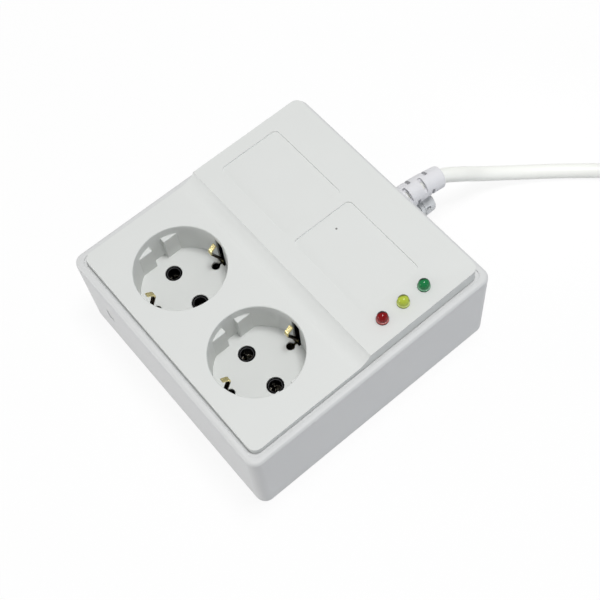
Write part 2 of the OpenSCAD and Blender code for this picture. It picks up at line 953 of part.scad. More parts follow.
// Quarter-turn cap of the fuse holder
module fuse_cap() {
  x = body_l / 2;
  color(white)
    difference() {
      union() {
        bar_x(x - 0.6, fuse_y, fuse_z, 4, 13);
        bar_x(x + 11.2, fuse_y, fuse_z, 4.6, 2);
        bar_x(x + 13, fuse_y, fuse_z, 5.5, 5.6);
        bar_x(x + 18.5, fuse_y, fuse_z, 5.1, 0.8);
        translate([x + 6.3, fuse_y - 0.7, fuse_z - 4.6])
          cube([1.4, 1.4, 9.2]);
      }
      bar_x(x - 1, fuse_y, fuse_z, 2.9, 5);
      for (a = [22.5 : 45 : 359])
        translate([x + 14, fuse_y, fuse_z])
          rotate([a, 0, 0])
            translate([0, -0.5, 4.9])
              cube([8, 1, 2]);
    }
}

// Point on the path through four points, u runs from 0 to 1 between the second and third
function through(a, b, c, d, u) =
  0.5 * (2 * b + (c - a) * u + (2 * a - 5 * b + 4 * c - d) * u * u + (3 * b - a - 3 * c + d) * u * u * u);

// All points of a path that starts before the first point with a and ends after the last with z
function path(points, a, z) =
  let (all = concat([a], points, [z]))
  concat([for (i = [0 : len(points) - 2], k = [0 : cord_steps - 1])
    through(all[i], all[i + 1], all[i + 2], all[i + 3], k / cord_steps)], [points[len(points) - 1]]);

// Unit vector
function unit(v) = v / norm(v);

// Sideways unit vectors carried along a list of directions, starting from s
function sideways(ts, s, i = 0) =
  i == len(ts) ? [] : let (n = unit(s - (s * ts[i]) * ts[i])) concat([n], sideways(ts, n, i + 1));

// Ring of points around p, square to the direction t, first point towards s
function ring(p, t, s, r) =
  let (n = cross(t, s))
  [for (k = [0 : cord_sides - 1])
    p + r * (cos(360 * k / cord_sides) * s + sin(360 * k / cord_sides) * n)];

// Directions of a path at its points, first and last directions given
function headings(pts, t0, t1) =
  [for (i = [0 : len(pts) - 1])
    i == 0 ? t0 : i == len(pts) - 1 ? t1 : unit(unit(pts[i + 1] - pts[i]) + unit(pts[i] - pts[i - 1]))];

// Round tube swept along points
module sweep(pts, t0, t1, r) {
  n = cord_sides;
  m = len(pts);
  ts = headings(pts, t0, t1);
  ss = sideways(ts, unit(cross([0.2, 0.9, 0.4], t0)));
  polyhedron(
    points = [for (i = [0 : m - 1]) each ring(pts[i], ts[i], ss[i], r)],
    faces = concat(
      [[for (k = [0 : n - 1]) k]],
      [[for (k = [n - 1 : -1 : 0]) (m - 1) * n + k]],
      [for (i = [0 : m - 2], k = [0 : n - 1]) each
        [[i * n + k, (i + 1) * n + k, (i + 1) * n + (k + 1) % n],
        [i * n + k, (i + 1) * n + (k + 1) % n, i * n + (k + 1) % n]]]));
}

// Wire through a list of points
module wire(points, r) {
  n = len(points);
  sweep(points, unit(points[1] - points[0]), unit(points[n - 1] - points[n - 2]), r);
}

// End of the sleeve and direction of the cord there
sleeve_end = bend_point(bend_a);
sleeve_dir = bend_dir(bend_a);
// Direction of the cord where it reaches the coil, and the point there
coil_dir = unit([0.74, -0.67, 0]);
coil_touch = [coil_x, coil_y, cord_r] - (coil_r + cord_r) * [-coil_dir[1], coil_dir[0], 0];

// Cord from the sleeve over the floor to the coil
module cord_free() {
  color(white)
    sweep(path(concat([sleeve_end], run_points, [coil_touch]), sleeve_end - 12 * sleeve_dir,
      coil_touch + 20 * coil_dir), sleeve_dir, coil_dir, cord_r);
}

// Coil of the unseen length of the cord
module cord_coil() {
  color(white)
    translate([coil_x, coil_y, 0])
      rotate_extrude($fn = 96)
        union() {
          translate([coil_r - cord_r, cord_r])
            square([2 * cord_r, 4 * cord_r]);
          for (x = [-1, 1], y = [1, 3, 5])
            translate([coil_r + x * cord_r, y * cord_r])
              circle(r = cord_r, $fn = 24);
        }
}

// Cord from the coil to the plug
module cord_tail() {
  color(white)
    sweep(path(concat(tail_points, [[tail_x, plug_y - plug_r - 22, plug_cord_z]]), [262, -65, 24.5],
      [tail_x, plug_y - plug_r - 12, plug_cord_z]), unit([3, 6.6, 0]), [0, 1, 0], cord_r);
}

// Moulded plug lying on its back with its tapered sleeve
module plug_body() {
  color(white)
    translate([tail_x, plug_y, 0])
      difference() {
        union() {
          cylinder(r1 = plug_r - 2, r2 = plug_r, h = 3, $fn = 64);
          translate([0, 0, 2.99])
            cylinder(r = plug_r, h = plug_h - 3, $fn = 64);
          translate([0, -plug_r + 2, plug_cord_z])
            rotate([90, 0, 0])
              cylinder(r1 = 7.5, r2 = 5, h = 24, $fn = 40);
        }
        for (x = [-1, 1])
          translate([x * (plug_r - 1.5) - 3, -3.2, plug_h - 16])
            cube([6, 6.4, 20]);
        for (y = [-1, 1])
          translate([-3.2, y * (plug_r - 0.7) - 1.5, plug_h - 18])
            cube([6.4, 3, 20]);
        for (y = [-1, 1])
          translate([0, y * pin_pitch / 2, plug_h - root_l])
            cylinder(r = root_r, h = root_l + 1, $fn = 24);
      }
}

// Two round plug pins with rounded tips
module plug_pins() {
  color(steel)
    for (y = [-1, 1])
      translate([tail_x, plug_y + y * pin_pitch / 2, plug_h]) {
        translate([0, 0, -root_l])
          cylinder(r = root_r - 0.05, h = root_l + 0.5, $fn = 24);
        cylinder(r = pin_r - 0.2, h = 1, $fn = 32);
        translate([0, 0, neck_l])
          cylinder(r = pin_r, h = pin_l - neck_l, $fn = 32);
        translate([0, 0, pin_l])
          intersection() {
            sphere(r = pin_r, $fn = 32);
            cylinder(r = pin_r + 1, h = pin_r + 1, $fn = 32);
          }
      }
}

// Two earth strips at the sides of the plug
module plug_earth() {
  color(brass)
    for (x = [-1, 1])
      translate([tail_x + x * (plug_r - 4.1) - 0.4, plug_y - 2.6, plug_h - 16])
        cube([0.8, 5.2, 15]);
}

base_tray();
top_cover();
cover_screws();
light_red();
light_yellow();
light_green();
light_spacers();
circuit_board();
board_screws();
relay();
transformer_core();
transformer_bobbin();
smoothing_capacitor();
film_capacitor();
varistor();
controller_chip();
terminal_block();
carrier_rear();
carrier_front();
line_contacts();
neutral_contacts();
earth_contacts();
cord_sleeve();
cord_clamp();
clamp_screws();
cord_inner();
wire_line_in();
wire_line_fused();
wire_line_out();
wire_neutral_in();
wire_neutral_out();
wire_earth();
fuse_holder();
fuse_nut();
fuse_terminal_rear();
fuse_terminal_side();
fuse_tube();
fuse_ends();
fuse_cap();
cord_free();
cord_coil();
cord_tail();
plug_body();
plug_pins();
plug_earth();
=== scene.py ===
"""Appliance voltage protector with two earthed sockets, three lights and a cord, in a white studio."""

import logging
import math
from collections.abc import Callable, Iterable, Sequence
from dataclasses import dataclass
from enum import Enum
from typing import ClassVar

import bmesh
import bpy
from mathutils import Matrix, Quaternion, Vector


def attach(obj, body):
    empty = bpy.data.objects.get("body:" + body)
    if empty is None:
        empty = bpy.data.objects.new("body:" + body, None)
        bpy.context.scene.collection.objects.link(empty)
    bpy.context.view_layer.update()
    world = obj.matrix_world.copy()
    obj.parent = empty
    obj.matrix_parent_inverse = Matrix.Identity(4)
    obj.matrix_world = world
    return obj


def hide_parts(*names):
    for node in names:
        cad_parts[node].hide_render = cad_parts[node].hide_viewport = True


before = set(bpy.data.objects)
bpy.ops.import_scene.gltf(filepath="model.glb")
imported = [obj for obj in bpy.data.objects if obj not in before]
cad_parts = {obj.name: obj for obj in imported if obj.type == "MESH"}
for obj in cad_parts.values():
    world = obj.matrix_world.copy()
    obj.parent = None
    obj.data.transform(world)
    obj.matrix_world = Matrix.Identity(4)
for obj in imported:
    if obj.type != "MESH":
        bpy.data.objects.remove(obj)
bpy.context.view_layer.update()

MM = 0.001
LOG = logging.getLogger("voltage_protector")
Point = Sequence[float]
Span = tuple[float, float]
Triple = tuple[float, float, float]
Colour = tuple[float, float, float]
Shade = tuple[float, float, float, float]
WHITE: Shade = (1.0, 1.0, 1.0, 1.0)

# Two places closer than this, in millimetres, count as the same.
NEAR = 0.01


class Axis(Enum):
    """Axes of the frame, each with its place in a vector."""

    X = 0
    Y = 1
    Z = 2


class Body(Enum):
    """Bodies of the record that a piece can move with."""

    HOUSING = "housing"
    CAP = "cap"


def metres(*values: float) -> Vector:
    """Turn millimetres into a vector in metres."""
    return Vector([value * MM for value in values])


def linear(colour: Colour) -> Shade:
    """Turn a display colour with parts from 0 to 255 into the linear one of a shader."""
    shares = [part / 255 for part in colour]
    parts = [share / 12.92 if share <= 0.04045 else ((share + 0.055) / 1.055) ** 2.4 for share in shares]
    return (*parts, 1.0)


def smooth(share: float) -> float:
    """Ease a share from 0 to 1 in and out."""
    share = min(1.0, max(0.0, share))
    return share * share * (3 - 2 * share)


class Signal:
    """One output of a shader tree, usable in Python expressions."""

    def __init__(self, tree: "ShaderTree", socket: bpy.types.NodeSocket) -> None:
        """Wrap a socket of a tree."""
        self.tree = tree
        self.socket = socket

    def _math(self, operation: str, *inputs: "Signal | float") -> "Signal":
        """Add one Math node."""
        return self.tree.node("ShaderNodeMath", {"operation": operation}, dict(enumerate(inputs)))

    def __add__(self, other: "Signal | float") -> "Signal":
        """Add a value or a signal."""
        return self._math("ADD", self, other)

    def __radd__(self, other: float) -> "Signal":
        """Add to a value."""
        return self._math("ADD", other, self)

    def __sub__(self, other: "Signal | float") -> "Signal":
        """Take a value or a signal away."""
        return self._math("SUBTRACT", self, other)

    def __rsub__(self, other: float) -> "Signal":
        """Take the signal away from a value."""
        return self._math("SUBTRACT", other, self)

    def __mul__(self, other: "Signal | float") -> "Signal":
        """Multiply by a value or a signal."""
        return self._math("MULTIPLY", self, other)

    def __rmul__(self, other: float) -> "Signal":
        """Multiply a value."""
        return self._math("MULTIPLY", other, self)

    def distance_to(self, value: float) -> "Signal":
        """Give the distance of the signal from a value, without its sign."""
        return self._math("ABSOLUTE", self - value)

    def sine(self) -> "Signal":
        """Give the sine of the signal."""
        return self._math("SINE", self)

    def over(self, low: float, high: float) -> "Signal":
        """Rise smoothly from 0 at one value to 1 at another."""
        inputs = {"Value": self, "From Min": low, "From Max": high}
        return self.tree.node("ShaderNodeMapRange", {"interpolation_type": "SMOOTHSTEP"}, inputs)


class ShaderTree:
    """Node tree of one material with a Principled surface."""

    def __init__(self, name: str) -> None:
        """Start a material."""
        self.material = bpy.data.materials.new(name)
        self.material.use_nodes = True
        self.nodes = self.material.node_tree.nodes
        self.surface = self.nodes["Principled BSDF"]

    def feed(self, socket: bpy.types.NodeSocket, value: object) -> None:
        """Link a signal to a socket, or set the socket to a plain value."""
        if isinstance(value, Signal):
            self.material.node_tree.links.new(value.socket, socket)
        else:
            socket.default_value = value

    def node(
        self, kind: str, settings: dict | None = None, inputs: dict | None = None, output: int | str = 0
    ) -> Signal:
        """Add a node.

        Args:
            kind: Type of the node.
            settings: Properties that are set before the sockets.
            inputs: Values or signals by the name or number of a socket.
            output: Name or number of the output that is used.

        Returns:
            The chosen output as a signal.
        """
        made = self.nodes.new(kind)
        for key, value in (settings or {}).items():
            setattr(made, key, value)
        for key, value in (inputs or {}).items():
            self.feed(made.inputs[key], value)
        return Signal(self, made.outputs[output])

    def set(self, **values: object) -> None:
        """Feed sockets of the surface; an underscore in a name stands for a space."""
        for key, value in values.items():
            self.feed(self.surface.inputs[key.replace("_", " ")], value)

    def colour(self) -> Signal:
        """Give the signal that feeds the colour of the surface."""
        return Signal(self, self.surface.inputs["Base Color"].links[0].from_socket)

    def place(self, centre: Point = (0, 0, 0)) -> Signal:
        """Give the place on the piece in millimetres, measured from a centre."""
        raw = self.node("ShaderNodeTexCoord", output="Object")
        settings = {"vector_type": "POINT"}
        inputs = {"Vector": raw, "Location": [-value for value in centre], "Scale": (1 / MM,) * 3}
        return self.node("ShaderNodeMapping", settings, inputs)

    def part(self, vector: Signal, axis: Axis) -> Signal:
        """Give one component of a vector."""
        return self.node("ShaderNodeSeparateXYZ", None, {0: vector}, axis.value)

    def from_axis(self, place: Signal) -> Signal:
        """Give the distance of a place from the upright axis through its centre."""
        flat = self.node("ShaderNodeVectorMath", {"operation": "MULTIPLY"}, {0: place, 1: (1.0, 1.0, 0.0)})
        return self.node("ShaderNodeVectorMath", {"operation": "LENGTH"}, {0: flat}, "Value")

    def noise(self, vector: Signal, size: float, detail: float = 2.0) -> Signal:
        """Give soft noise around one half, with spots of a size in millimetres."""
        inputs = {"Vector": vector, "Scale": 1 / size, "Detail": detail}
        return self.node("ShaderNodeTexNoise", None, inputs, "Fac")

    def blend(self, share: "Signal | float", first: object, second: object) -> Signal:
        """Mix two colours."""
        return self.node("ShaderNodeMix", {"data_type": "RGBA"}, {0: share, 6: first, 7: second}, 2)

    def bump(self, height: Signal, strength: float, depth: float) -> Signal:
        """Give a normal from a height between 0 and 1 and a depth in millimetres."""
        inputs = {"Strength": strength, "Distance": depth * MM, "Height": height}
        return self.node("ShaderNodeBump", None, inputs)


@dataclass(frozen=True)
class Finish:
    """Plain finish with a faint cloud in its colour and a fine grain.

    The grain is a bump, the cloud shifts the colour and the roughness together. Sizes are in millimetres.
    """

    name: str
    colour: Colour
    roughness: float = 0.45
    metallic: float = 0.0
    cloud: float = 0.03
    cloud_size: float = 9.0
    grain: float = 0.04
    grain_size: float = 0.5
    coat: float = 0.0
    shine: float = 0.5
    sway: float = 0.08
    grain_depth: float = 0.1
    grain_detail: float = 3.0

    @property
    def title(self) -> str:
        """Name of the material, kept apart from the plain ones of the solid model."""
        return f"finish_{self.name}"

    def shaded(self, factor: float) -> Shade:
        """Give the colour made darker or lighter by a factor."""
        return (*[min(1.0, part * factor) for part in linear(self.colour)[:3]], 1.0)

    def tree(self) -> ShaderTree:
        """Build the common part of the material."""
        tree = ShaderTree(self.title)
        place = tree.place()
        cloud = tree.noise(place, self.cloud_size)
        grain = tree.noise(place, self.grain_size, self.grain_detail)
        tree.set(
            Base_Color=tree.blend(cloud, self.shaded(1 - self.cloud), self.shaded(1 + self.cloud)),
            Roughness=self.roughness + self.sway * (cloud - 0.5),
            Metallic=self.metallic,
            Coat_Weight=self.coat,
            Specular_IOR_Level=self.shine,
            Normal=tree.bump(grain, self.grain, self.grain_depth),
        )
        return tree

    def material(self) -> bpy.types.Material:
        """Give the material, built once."""
        known = bpy.data.materials.get(self.title)
        return known if known else self.tree().material


@dataclass(frozen=True)
class StripedFinish(Finish):
    """Two colours in stripes along a wire."""

    second: Colour = (230, 200, 30)
    pitch: float = 2.4
    edge: float = 0.15

    def tree(self) -> ShaderTree:
        """Lay the second colour over the first in stripes."""
        tree = super().tree()
        place = tree.place()
        along = tree.part(place, Axis.X) + tree.part(place, Axis.Y) + tree.part(place, Axis.Z)
        stripe = (along * (math.pi / self.pitch)).sine().over(-self.edge, self.edge)
        tree.set(Base_Color=tree.blend(stripe, linear(self.colour), linear(self.second)))
        return tree


@dataclass(frozen=True)
class LayeredIron(Finish):
    """Stacked sheets of iron with fine lines between them."""

    sheet: float = 0.7
    gap: Span = (0.55, 0.95)
    gap_colour: Colour = (52, 50, 50)

    def tree(self) -> ShaderTree:
        """Draw the edges of the sheets."""
        tree = super().tree()
        line = (tree.part(tree.place(), Axis.Y) * (math.tau / self.sheet)).sine().over(*self.gap)
        tree.set(Base_Color=tree.blend(line, linear(self.colour), linear(self.gap_colour)))
        return tree


@dataclass(frozen=True)
class LightFinish(Finish):
    """Clear coloured dome, bright inside, with painted shade away from the viewer's side and on the flange,
    and a painted highlight over the flange.

    The viewer looks along the direction given as view. A span says where a share starts and where it is
    full, in millimetres away from the viewer, to their right or from the axis of the dome.
    """

    centre: Span = (0.0, 0.0)
    foot: float = 53.6
    # Colour of the painted shade.
    rim: Colour = (40, 0, 0)
    # Colour of the painted highlight over the flange.
    glow: Colour = (255, 120, 120)
    view: Span = (0.53, 0.85)
    painted_shade_away: Span = (0.2, 1.3)
    side_shade_across: Span = (1.7, 2.4)
    side_shade_right: Span = (-0.8, 0.9)
    side_shade_away: Span = (-1.7, -0.3)
    side_shade_share: float = 0.8
    painted_shade_full: float = 0.9
    highlight_lift: float = 0.2
    highlight_fade: Span = (0.25, 0.5)
    highlight_away: Span = (-1.2, 1.0)
    highlight_share: float = 0.6
    flange_shade_fade: Span = (-0.35, -0.1)
    flange_shade_share: float = 0.7

    def tree(self) -> ShaderTree:
        """Paint shade and a highlight on the dome by the place across it and by height."""
        tree = super().tree()
        place = tree.place((*self.centre, 0.0))
        x, y, height = (tree.part(place, axis) for axis in Axis)
        across = tree.from_axis(place)
        away = self.view[0] * x + self.view[1] * y
        right = self.view[1] * x - self.view[0] * y
        # Painted shade on the far side of the dome and along its right edge.
        side = across.over(*self.side_shade_across) * right.over(*self.side_shade_right) * away.over(*self.side_shade_away)
        painted_shade = away.over(*self.painted_shade_away) + side * self.side_shade_share
        colour = tree.blend(painted_shade.over(0.0, self.painted_shade_full), linear(self.colour), linear(self.rim))
        # Painted highlight: a pale band just over the flange, on the near side.
        painted_highlight = 1 - height.distance_to(self.foot + self.highlight_lift).over(*self.highlight_fade)
        painted_highlight = painted_highlight * (1 - away.over(*self.highlight_away))
        colour = tree.blend(painted_highlight * self.highlight_share, colour, linear(self.glow))
        # Painted shade on the side of the flange.
        low, high = self.flange_shade_fade
        flange = 1 - height.over(self.foot + low, self.foot + high)
        colour = tree.blend(flange * self.flange_shade_share, colour, linear(self.rim))
        tree.set(Base_Color=colour)
        return tree


@dataclass(frozen=True)
class PaintedLightBand(Finish):
    """A finish with another colour between two heights, laid on as painted light: a band of painted shade
    or a painted reflection.
    """

    band: Span = (0.0, 1.0)
    fade: float = 0.5
    second: Colour = (90, 90, 92)

    def tree(self) -> ShaderTree:
        """Lay the second colour over the first between the two heights."""
        tree = super().tree()
        height = tree.part(tree.place(), Axis.Z)
        low, high = self.band
        share = height.over(low - self.fade, low) * (1 - height.over(high, high + self.fade))
        tree.set(Base_Color=tree.blend(share, tree.colour(), linear(self.second)))
        return tree


@dataclass(frozen=True)
class SpeckledFinish(Finish):
    """Moulded plastic with small dark specks, each with its place and radius in millimetres."""

    specks: tuple[tuple[float, float, float], ...] = ()
    speck: Colour = (120, 120, 118)
    core: float = 0.5

    def tree(self) -> ShaderTree:
        """Draw each speck as a soft dot seen from above."""
        tree = super().tree()
        colour = tree.colour()
        for x, y, radius in self.specks:
            across = tree.from_axis(tree.place((x, y, 0.0)))
            colour = tree.blend(1 - across.over(radius * self.core, radius), colour, linear(self.speck))
        tree.set(Base_Color=colour)
        return tree


class Finishes:
    """All the finishes of the protector."""

    COVER = SpeckledFinish("cover_white", (223, 225, 223), 0.5, cloud=0.012, cloud_size=14.0, grain=0.05,
                           shine=0.3, specks=((28.2, -4.8, 0.6),))
    TRAY = Finish("tray_white", (216, 217, 217), 0.45, cloud=0.012, cloud_size=18.0, grain=0.05)
    SLEEVE = Finish("sleeve_grey", (226, 226, 229), 0.5, cloud=0.02, cloud_size=4.0)
    CAP = Finish("cap_grey", (210, 212, 213), 0.38, cloud=0.02, cloud_size=3.0)
    SHEATH = Finish("cord_sheath", (244, 245, 240), 0.4, cloud=0.012, cloud_size=12.0, grain=0.03)
    PLUG = Finish("plug_white", (232, 232, 228), 0.42, cloud=0.012, cloud_size=12.0, grain=0.04)
    BRASS = Finish("sheet_brass", (222, 198, 140), 0.24, 1.0, cloud=0.14, cloud_size=1.6, grain=0.16,
                   grain_size=0.3)
    # The brown band between the two heights is painted shade on the legs of the clips, down in their slots.
    CLIP = PaintedLightBand("clip_brass", (240, 226, 168), 0.26, 1.0, cloud=0.12, cloud_size=1.6, grain=0.16,
                        grain_size=0.3, band=(33.4, 41.6), fade=1.2, second=(58, 44, 26))
    CONTACT = Finish("contact_brass", (206, 200, 184), 0.24, 1.0, cloud=0.14, cloud_size=1.6, grain=0.16)
    NICKEL = Finish("nickel", (205, 203, 198), 0.22, 1.0, cloud=0.05, cloud_size=2.0, grain=0.08,
                    grain_size=0.3)
    STEEL = Finish("zinc_steel", (188, 190, 194), 0.32, 1.0, cloud=0.08, cloud_size=1.5, grain=0.12)
    BLACK = Finish("black_moulding", (24, 24, 26), 0.4, cloud=0.08, cloud_size=3.0)
    # The grey band just under the lip is a painted reflection on the chamfer at the mouth of each collar.
    CARRIER = PaintedLightBand("carrier_black", (10, 10, 11), 0.5, cloud=0.08, cloud_size=3.0, shine=0.04,
                           band=(29.32, 29.56), fade=0.03, second=(84, 84, 86))
    CLAMP = Finish("inner_grey", (196, 198, 202), 0.5, cloud=0.02)
    SPACER = Finish("spacer_white", (232, 232, 226), 0.5, cloud=0.02, cloud_size=3.0)
    BOARD = Finish("board_green", (30, 92, 58), 0.35, cloud=0.25, cloud_size=1.4, coat=0.5)
    RELAY = Finish("relay_blue", (30, 52, 120), 0.3, cloud=0.03, cloud_size=5.0)
    IRON = LayeredIron("core_iron", (104, 102, 104), 0.42, 0.8, cloud=0.08, cloud_size=2.0)
    TAPE = Finish("winding_tape", (214, 172, 60), 0.4, cloud=0.08, cloud_size=3.0)
    CAN = Finish("capacitor_sleeve", (28, 36, 76), 0.3, cloud=0.05, cloud_size=3.0)
    FILM = Finish("film_case", (206, 176, 44), 0.35, cloud=0.04, cloud_size=3.0)
    VARISTOR = Finish("varistor_coat", (30, 66, 128), 0.45, cloud=0.06, cloud_size=1.5)
    TERMINAL = Finish("terminal_green", (26, 120, 66), 0.4, cloud=0.04, cloud_size=4.0)
    BROWN = Finish("wire_brown", (104, 60, 38), 0.4, cloud=0.05)
    BLUE = Finish("wire_blue", (36, 72, 160), 0.4, cloud=0.05)
    EARTH = StripedFinish("wire_green_yellow", (46, 140, 60), 0.4)
    GLASS = Finish("fuse_glass", (206, 218, 218), 0.08, cloud=0.03, cloud_size=2.0, coat=1.0)


@dataclass(frozen=True)
class Seam:
    """An edge of a workpiece in millimetres, with the normals of its faces.

    It runs along an axis when that part of its unit vector is above STRAIGHT. It is sharp when its faces
    turn by more than SHARP degrees.
    """

    STRAIGHT: ClassVar[float] = 0.99
    SHARP: ClassVar[float] = 60.0

    start: Vector
    end: Vector
    normals: tuple[Vector, ...]

    @property
    def middle(self) -> Vector:
        """Middle of the edge."""
        return (self.start + self.end) / 2

    @property
    def along(self) -> Vector:
        """Unit vector along the edge."""
        return (self.end - self.start).normalized()

    def runs(self, axis: Axis) -> bool:
        """Say whether the edge runs along an axis."""
        return abs(self.along[axis.value]) > self.STRAIGHT

    @property
    def is_sharp(self) -> bool:
        """Whether the faces meet at a clear angle."""
        return self.turn > self.SHARP

    @property
    def turn(self) -> float:
        """Angle between the faces in degrees, nought where they are flush."""
        if len(self.normals) < 2:
            return 180.0
        return math.degrees(self.normals[0].angle(self.normals[1], 0.0))

    def at_height(self, height: float) -> bool:
        """Say whether both ends lie at a height."""
        return abs(self.start.z - height) < NEAR and abs(self.end.z - height) < NEAR

    def from_axis(self, x: float, y: float) -> float:
        """Distance of the farther end from an upright axis."""
        return max(math.hypot(end.x - x, end.y - y) for end in (self.start, self.end))


def deselect() -> None:
    """Leave edit mode and deselect every object."""
    if bpy.context.object and bpy.context.object.mode != "OBJECT":
        bpy.ops.object.mode_set(mode="OBJECT")
    bpy.ops.object.select_all(action="DESELECT")


class Workpiece:
    """A mesh on the bench, started as a primitive and shaped with the mesh tools.

    Points closer than WELD, in millimetres, are merged. An edge of more than SHARP degrees stays sharp.
    """

    WELD = 0.002
    SHARP = 32.0

    def __init__(self, name: str, body: bpy.types.Object | None = None) -> None:
        """Take the object that was just added, or a given one, and apply its place.

        Args:
            name: Name of the piece.
            body: The object, or nothing for the active one.
        """
        self.body = body or bpy.context.object
        self.body.name = name
        self.body.data.name = name
        self.activate()
        bpy.ops.object.transform_apply(location=True, rotation=True, scale=True)

    @classmethod
    def box(cls, name: str, low: Point, high: Point) -> "Workpiece":
        """Start from a cube between two corners."""
        deselect()
        low, high = metres(*low), metres(*high)
        bpy.ops.mesh.primitive_cube_add(size=1, location=(low + high) / 2, scale=high - low)
        return cls(name)

    @classmethod
    def block(cls, name: str, middle: Span, half: Span, heights: Span) -> "Workpiece":
        """Start from a cube around an upright axis.

        Args:
            name: Name of the piece.
            middle: Place of the axis.
            half: Half of the size along X and along Y.
            heights: Height of the bottom and of the top.

        Returns:
            The new workpiece.
        """
        (x, y), (dx, dy), (bottom, top) = middle, half, heights
        return cls.box(name, (x - dx, y - dy, bottom), (x + dx, y + dy, top))

    @classmethod
    def rod(
        cls, name: str, foot: Point, radius: float, length: float, along: Point = (0, 0, 1), sides: int = 64
    ) -> "Workpiece":
        """Start from a cylinder.

        Args:
            name: Name of the piece.
            foot: Middle of the first end.
            radius: Radius of the rod.
            length: Length of the rod.
            along: Direction of the axis.
            sides: Number of flat sides.

        Returns:
            The new workpiece.
        """
        deselect()
        direction = Vector(along).normalized()
        turn = direction.to_track_quat("Z", "Y").to_euler()
        middle = metres(*foot) + direction * length * MM / 2
        bpy.ops.mesh.primitive_cone_add(vertices=sides, radius1=radius * MM, radius2=radius * MM,
                                        depth=length * MM, location=middle, rotation=turn)
        return cls(name)

    @classmethod
    def rounded_box(
        cls, name: str, low: Point, high: Point, corner: float, top: float = 0.0, bottom: float = 0.0
    ) -> "Workpiece":
        """Start from a cube with rounded upright corners and outlines.

        Args:
            name: Name of the piece.
            low: Lowest corner.
            high: Highest corner.
            corner: Radius of the upright corners.
            top: Radius of the outline at the top, or nought for a sharp one.
            bottom: Radius of the outline at the bottom, or nought for a sharp one.

        Returns:
            The new workpiece.
        """
        piece = cls.box(name, low, high)
        piece.bevel(lambda seam: seam.runs(Axis.Z), corner, 10)
        if top:
            piece.bevel(lambda seam: seam.at_height(high[2]), top, 5)
        if bottom:
            piece.bevel(lambda seam: seam.at_height(low[2]), bottom, 4)
        return piece

    @classmethod
    def loft(cls, name: str, rings: Iterable[tuple[Point, Point, float]], sides: int = 48) -> "Workpiece":
        """Bridge a row of circles and close both ends.

        Args:
            name: Name of the piece.
            rings: Centre, direction and radius of each circle.
            sides: Number of points on a circle.

        Returns:
            The new workpiece.
        """
        circles = []
        for centre, direction, radius in rings:
            deselect()
            turn = Vector(direction).to_track_quat("Z", "Y").to_euler()
            bpy.ops.mesh.primitive_circle_add(vertices=sides, radius=radius * MM, fill_type="NOTHING",
                                              location=metres(*centre), rotation=turn)
            circles.append(cls(name))
        piece = circles[0].joined(*circles[1:])
        piece.edit()
        bpy.ops.mesh.select_mode(type="EDGE")
        bpy.ops.mesh.select_all(action="SELECT")
        bpy.ops.mesh.bridge_edge_loops()
        bpy.ops.mesh.select_all(action="DESELECT")
        bpy.ops.mesh.select_non_manifold()
        bpy.ops.mesh.fill_holes(sides=0)
        bpy.ops.mesh.select_all(action="SELECT")
        bpy.ops.mesh.normals_make_consistent(inside=False)
        deselect()
        return piece

    def activate(self) -> None:
        """Make this piece the only selected and active one."""
        deselect()
        self.body.select_set(True)
        bpy.context.view_layer.objects.active = self.body

    def edit(self) -> None:
        """Go into edit mode with nothing selected."""
        self.activate()
        bpy.ops.object.mode_set(mode="EDIT")
        bpy.ops.mesh.select_all(action="DESELECT")

    def pick_seams(self, test: Callable[[Seam], bool]) -> int:
        """Select edges in edit mode by a test and give their number."""
        self.edit()
        bpy.ops.mesh.select_mode(type="EDGE")
        mesh = bmesh.from_edit_mesh(self.body.data)
        count = 0
        for edge in mesh.edges:
            start, end = (vert.co / MM for vert in edge.verts)
            if test(Seam(start, end, tuple(face.normal.copy() for face in edge.link_faces))):
                edge.select_set(True)
                count += 1
        bmesh.update_edit_mesh(self.body.data)
        return count

    def bevel(self, test: Callable[[Seam], bool], width: float, segments: int = 3) -> "Workpiece":
        """Round the edges that pass a test."""
        if self.pick_seams(test):
            bpy.ops.mesh.bevel(offset=width * MM, offset_type="OFFSET", segments=segments, profile=0.5,
                               affect="EDGES", clamp_overlap=True)
        deselect()
        return self

    def modify(self, kind: str, **settings: object) -> "Workpiece":
        """Add a modifier with its settings and apply it."""
        self.activate()
        modifier = self.body.modifiers.new(kind.lower(), kind)
        for key, value in settings.items():
            setattr(modifier, key, value)
        bpy.ops.object.modifier_apply(modifier=modifier.name)
        return self

    def _combine(self, operation: str, others: Sequence["Workpiece"]) -> "Workpiece":
        """Run one exact boolean with each of the other pieces and remove them."""
        for other in others:
            self.modify("BOOLEAN", operation=operation, solver="EXACT", object=other.body)
            bpy.data.objects.remove(other.body, do_unlink=True)
        return self

    def cut(self, *others: "Workpiece") -> "Workpiece":
        """Cut other pieces out of this one."""
        return self._combine("DIFFERENCE", others)

    def fuse(self, *others: "Workpiece") -> "Workpiece":
        """Fuse other pieces into this one."""
        return self._combine("UNION", others)

    def joined(self, *others: "Workpiece") -> "Workpiece":
        """Join other meshes to this one without welding them."""
        self.activate()
        for other in others:
            other.body.select_set(True)
        bpy.ops.object.join()
        return self

    def copy(self, name: str, matrix: Matrix) -> "Workpiece":
        """Copy the piece with its own mesh and move the copy by a matrix in millimetres."""
        deselect()
        body = self.body.copy()
        body.data = self.body.data.copy()
        bpy.context.scene.collection.objects.link(body)
        moved = matrix.copy()
        moved.translation = matrix.translation * MM
        body.matrix_world = moved
        bpy.context.view_layer.update()
        return Workpiece(name, body)

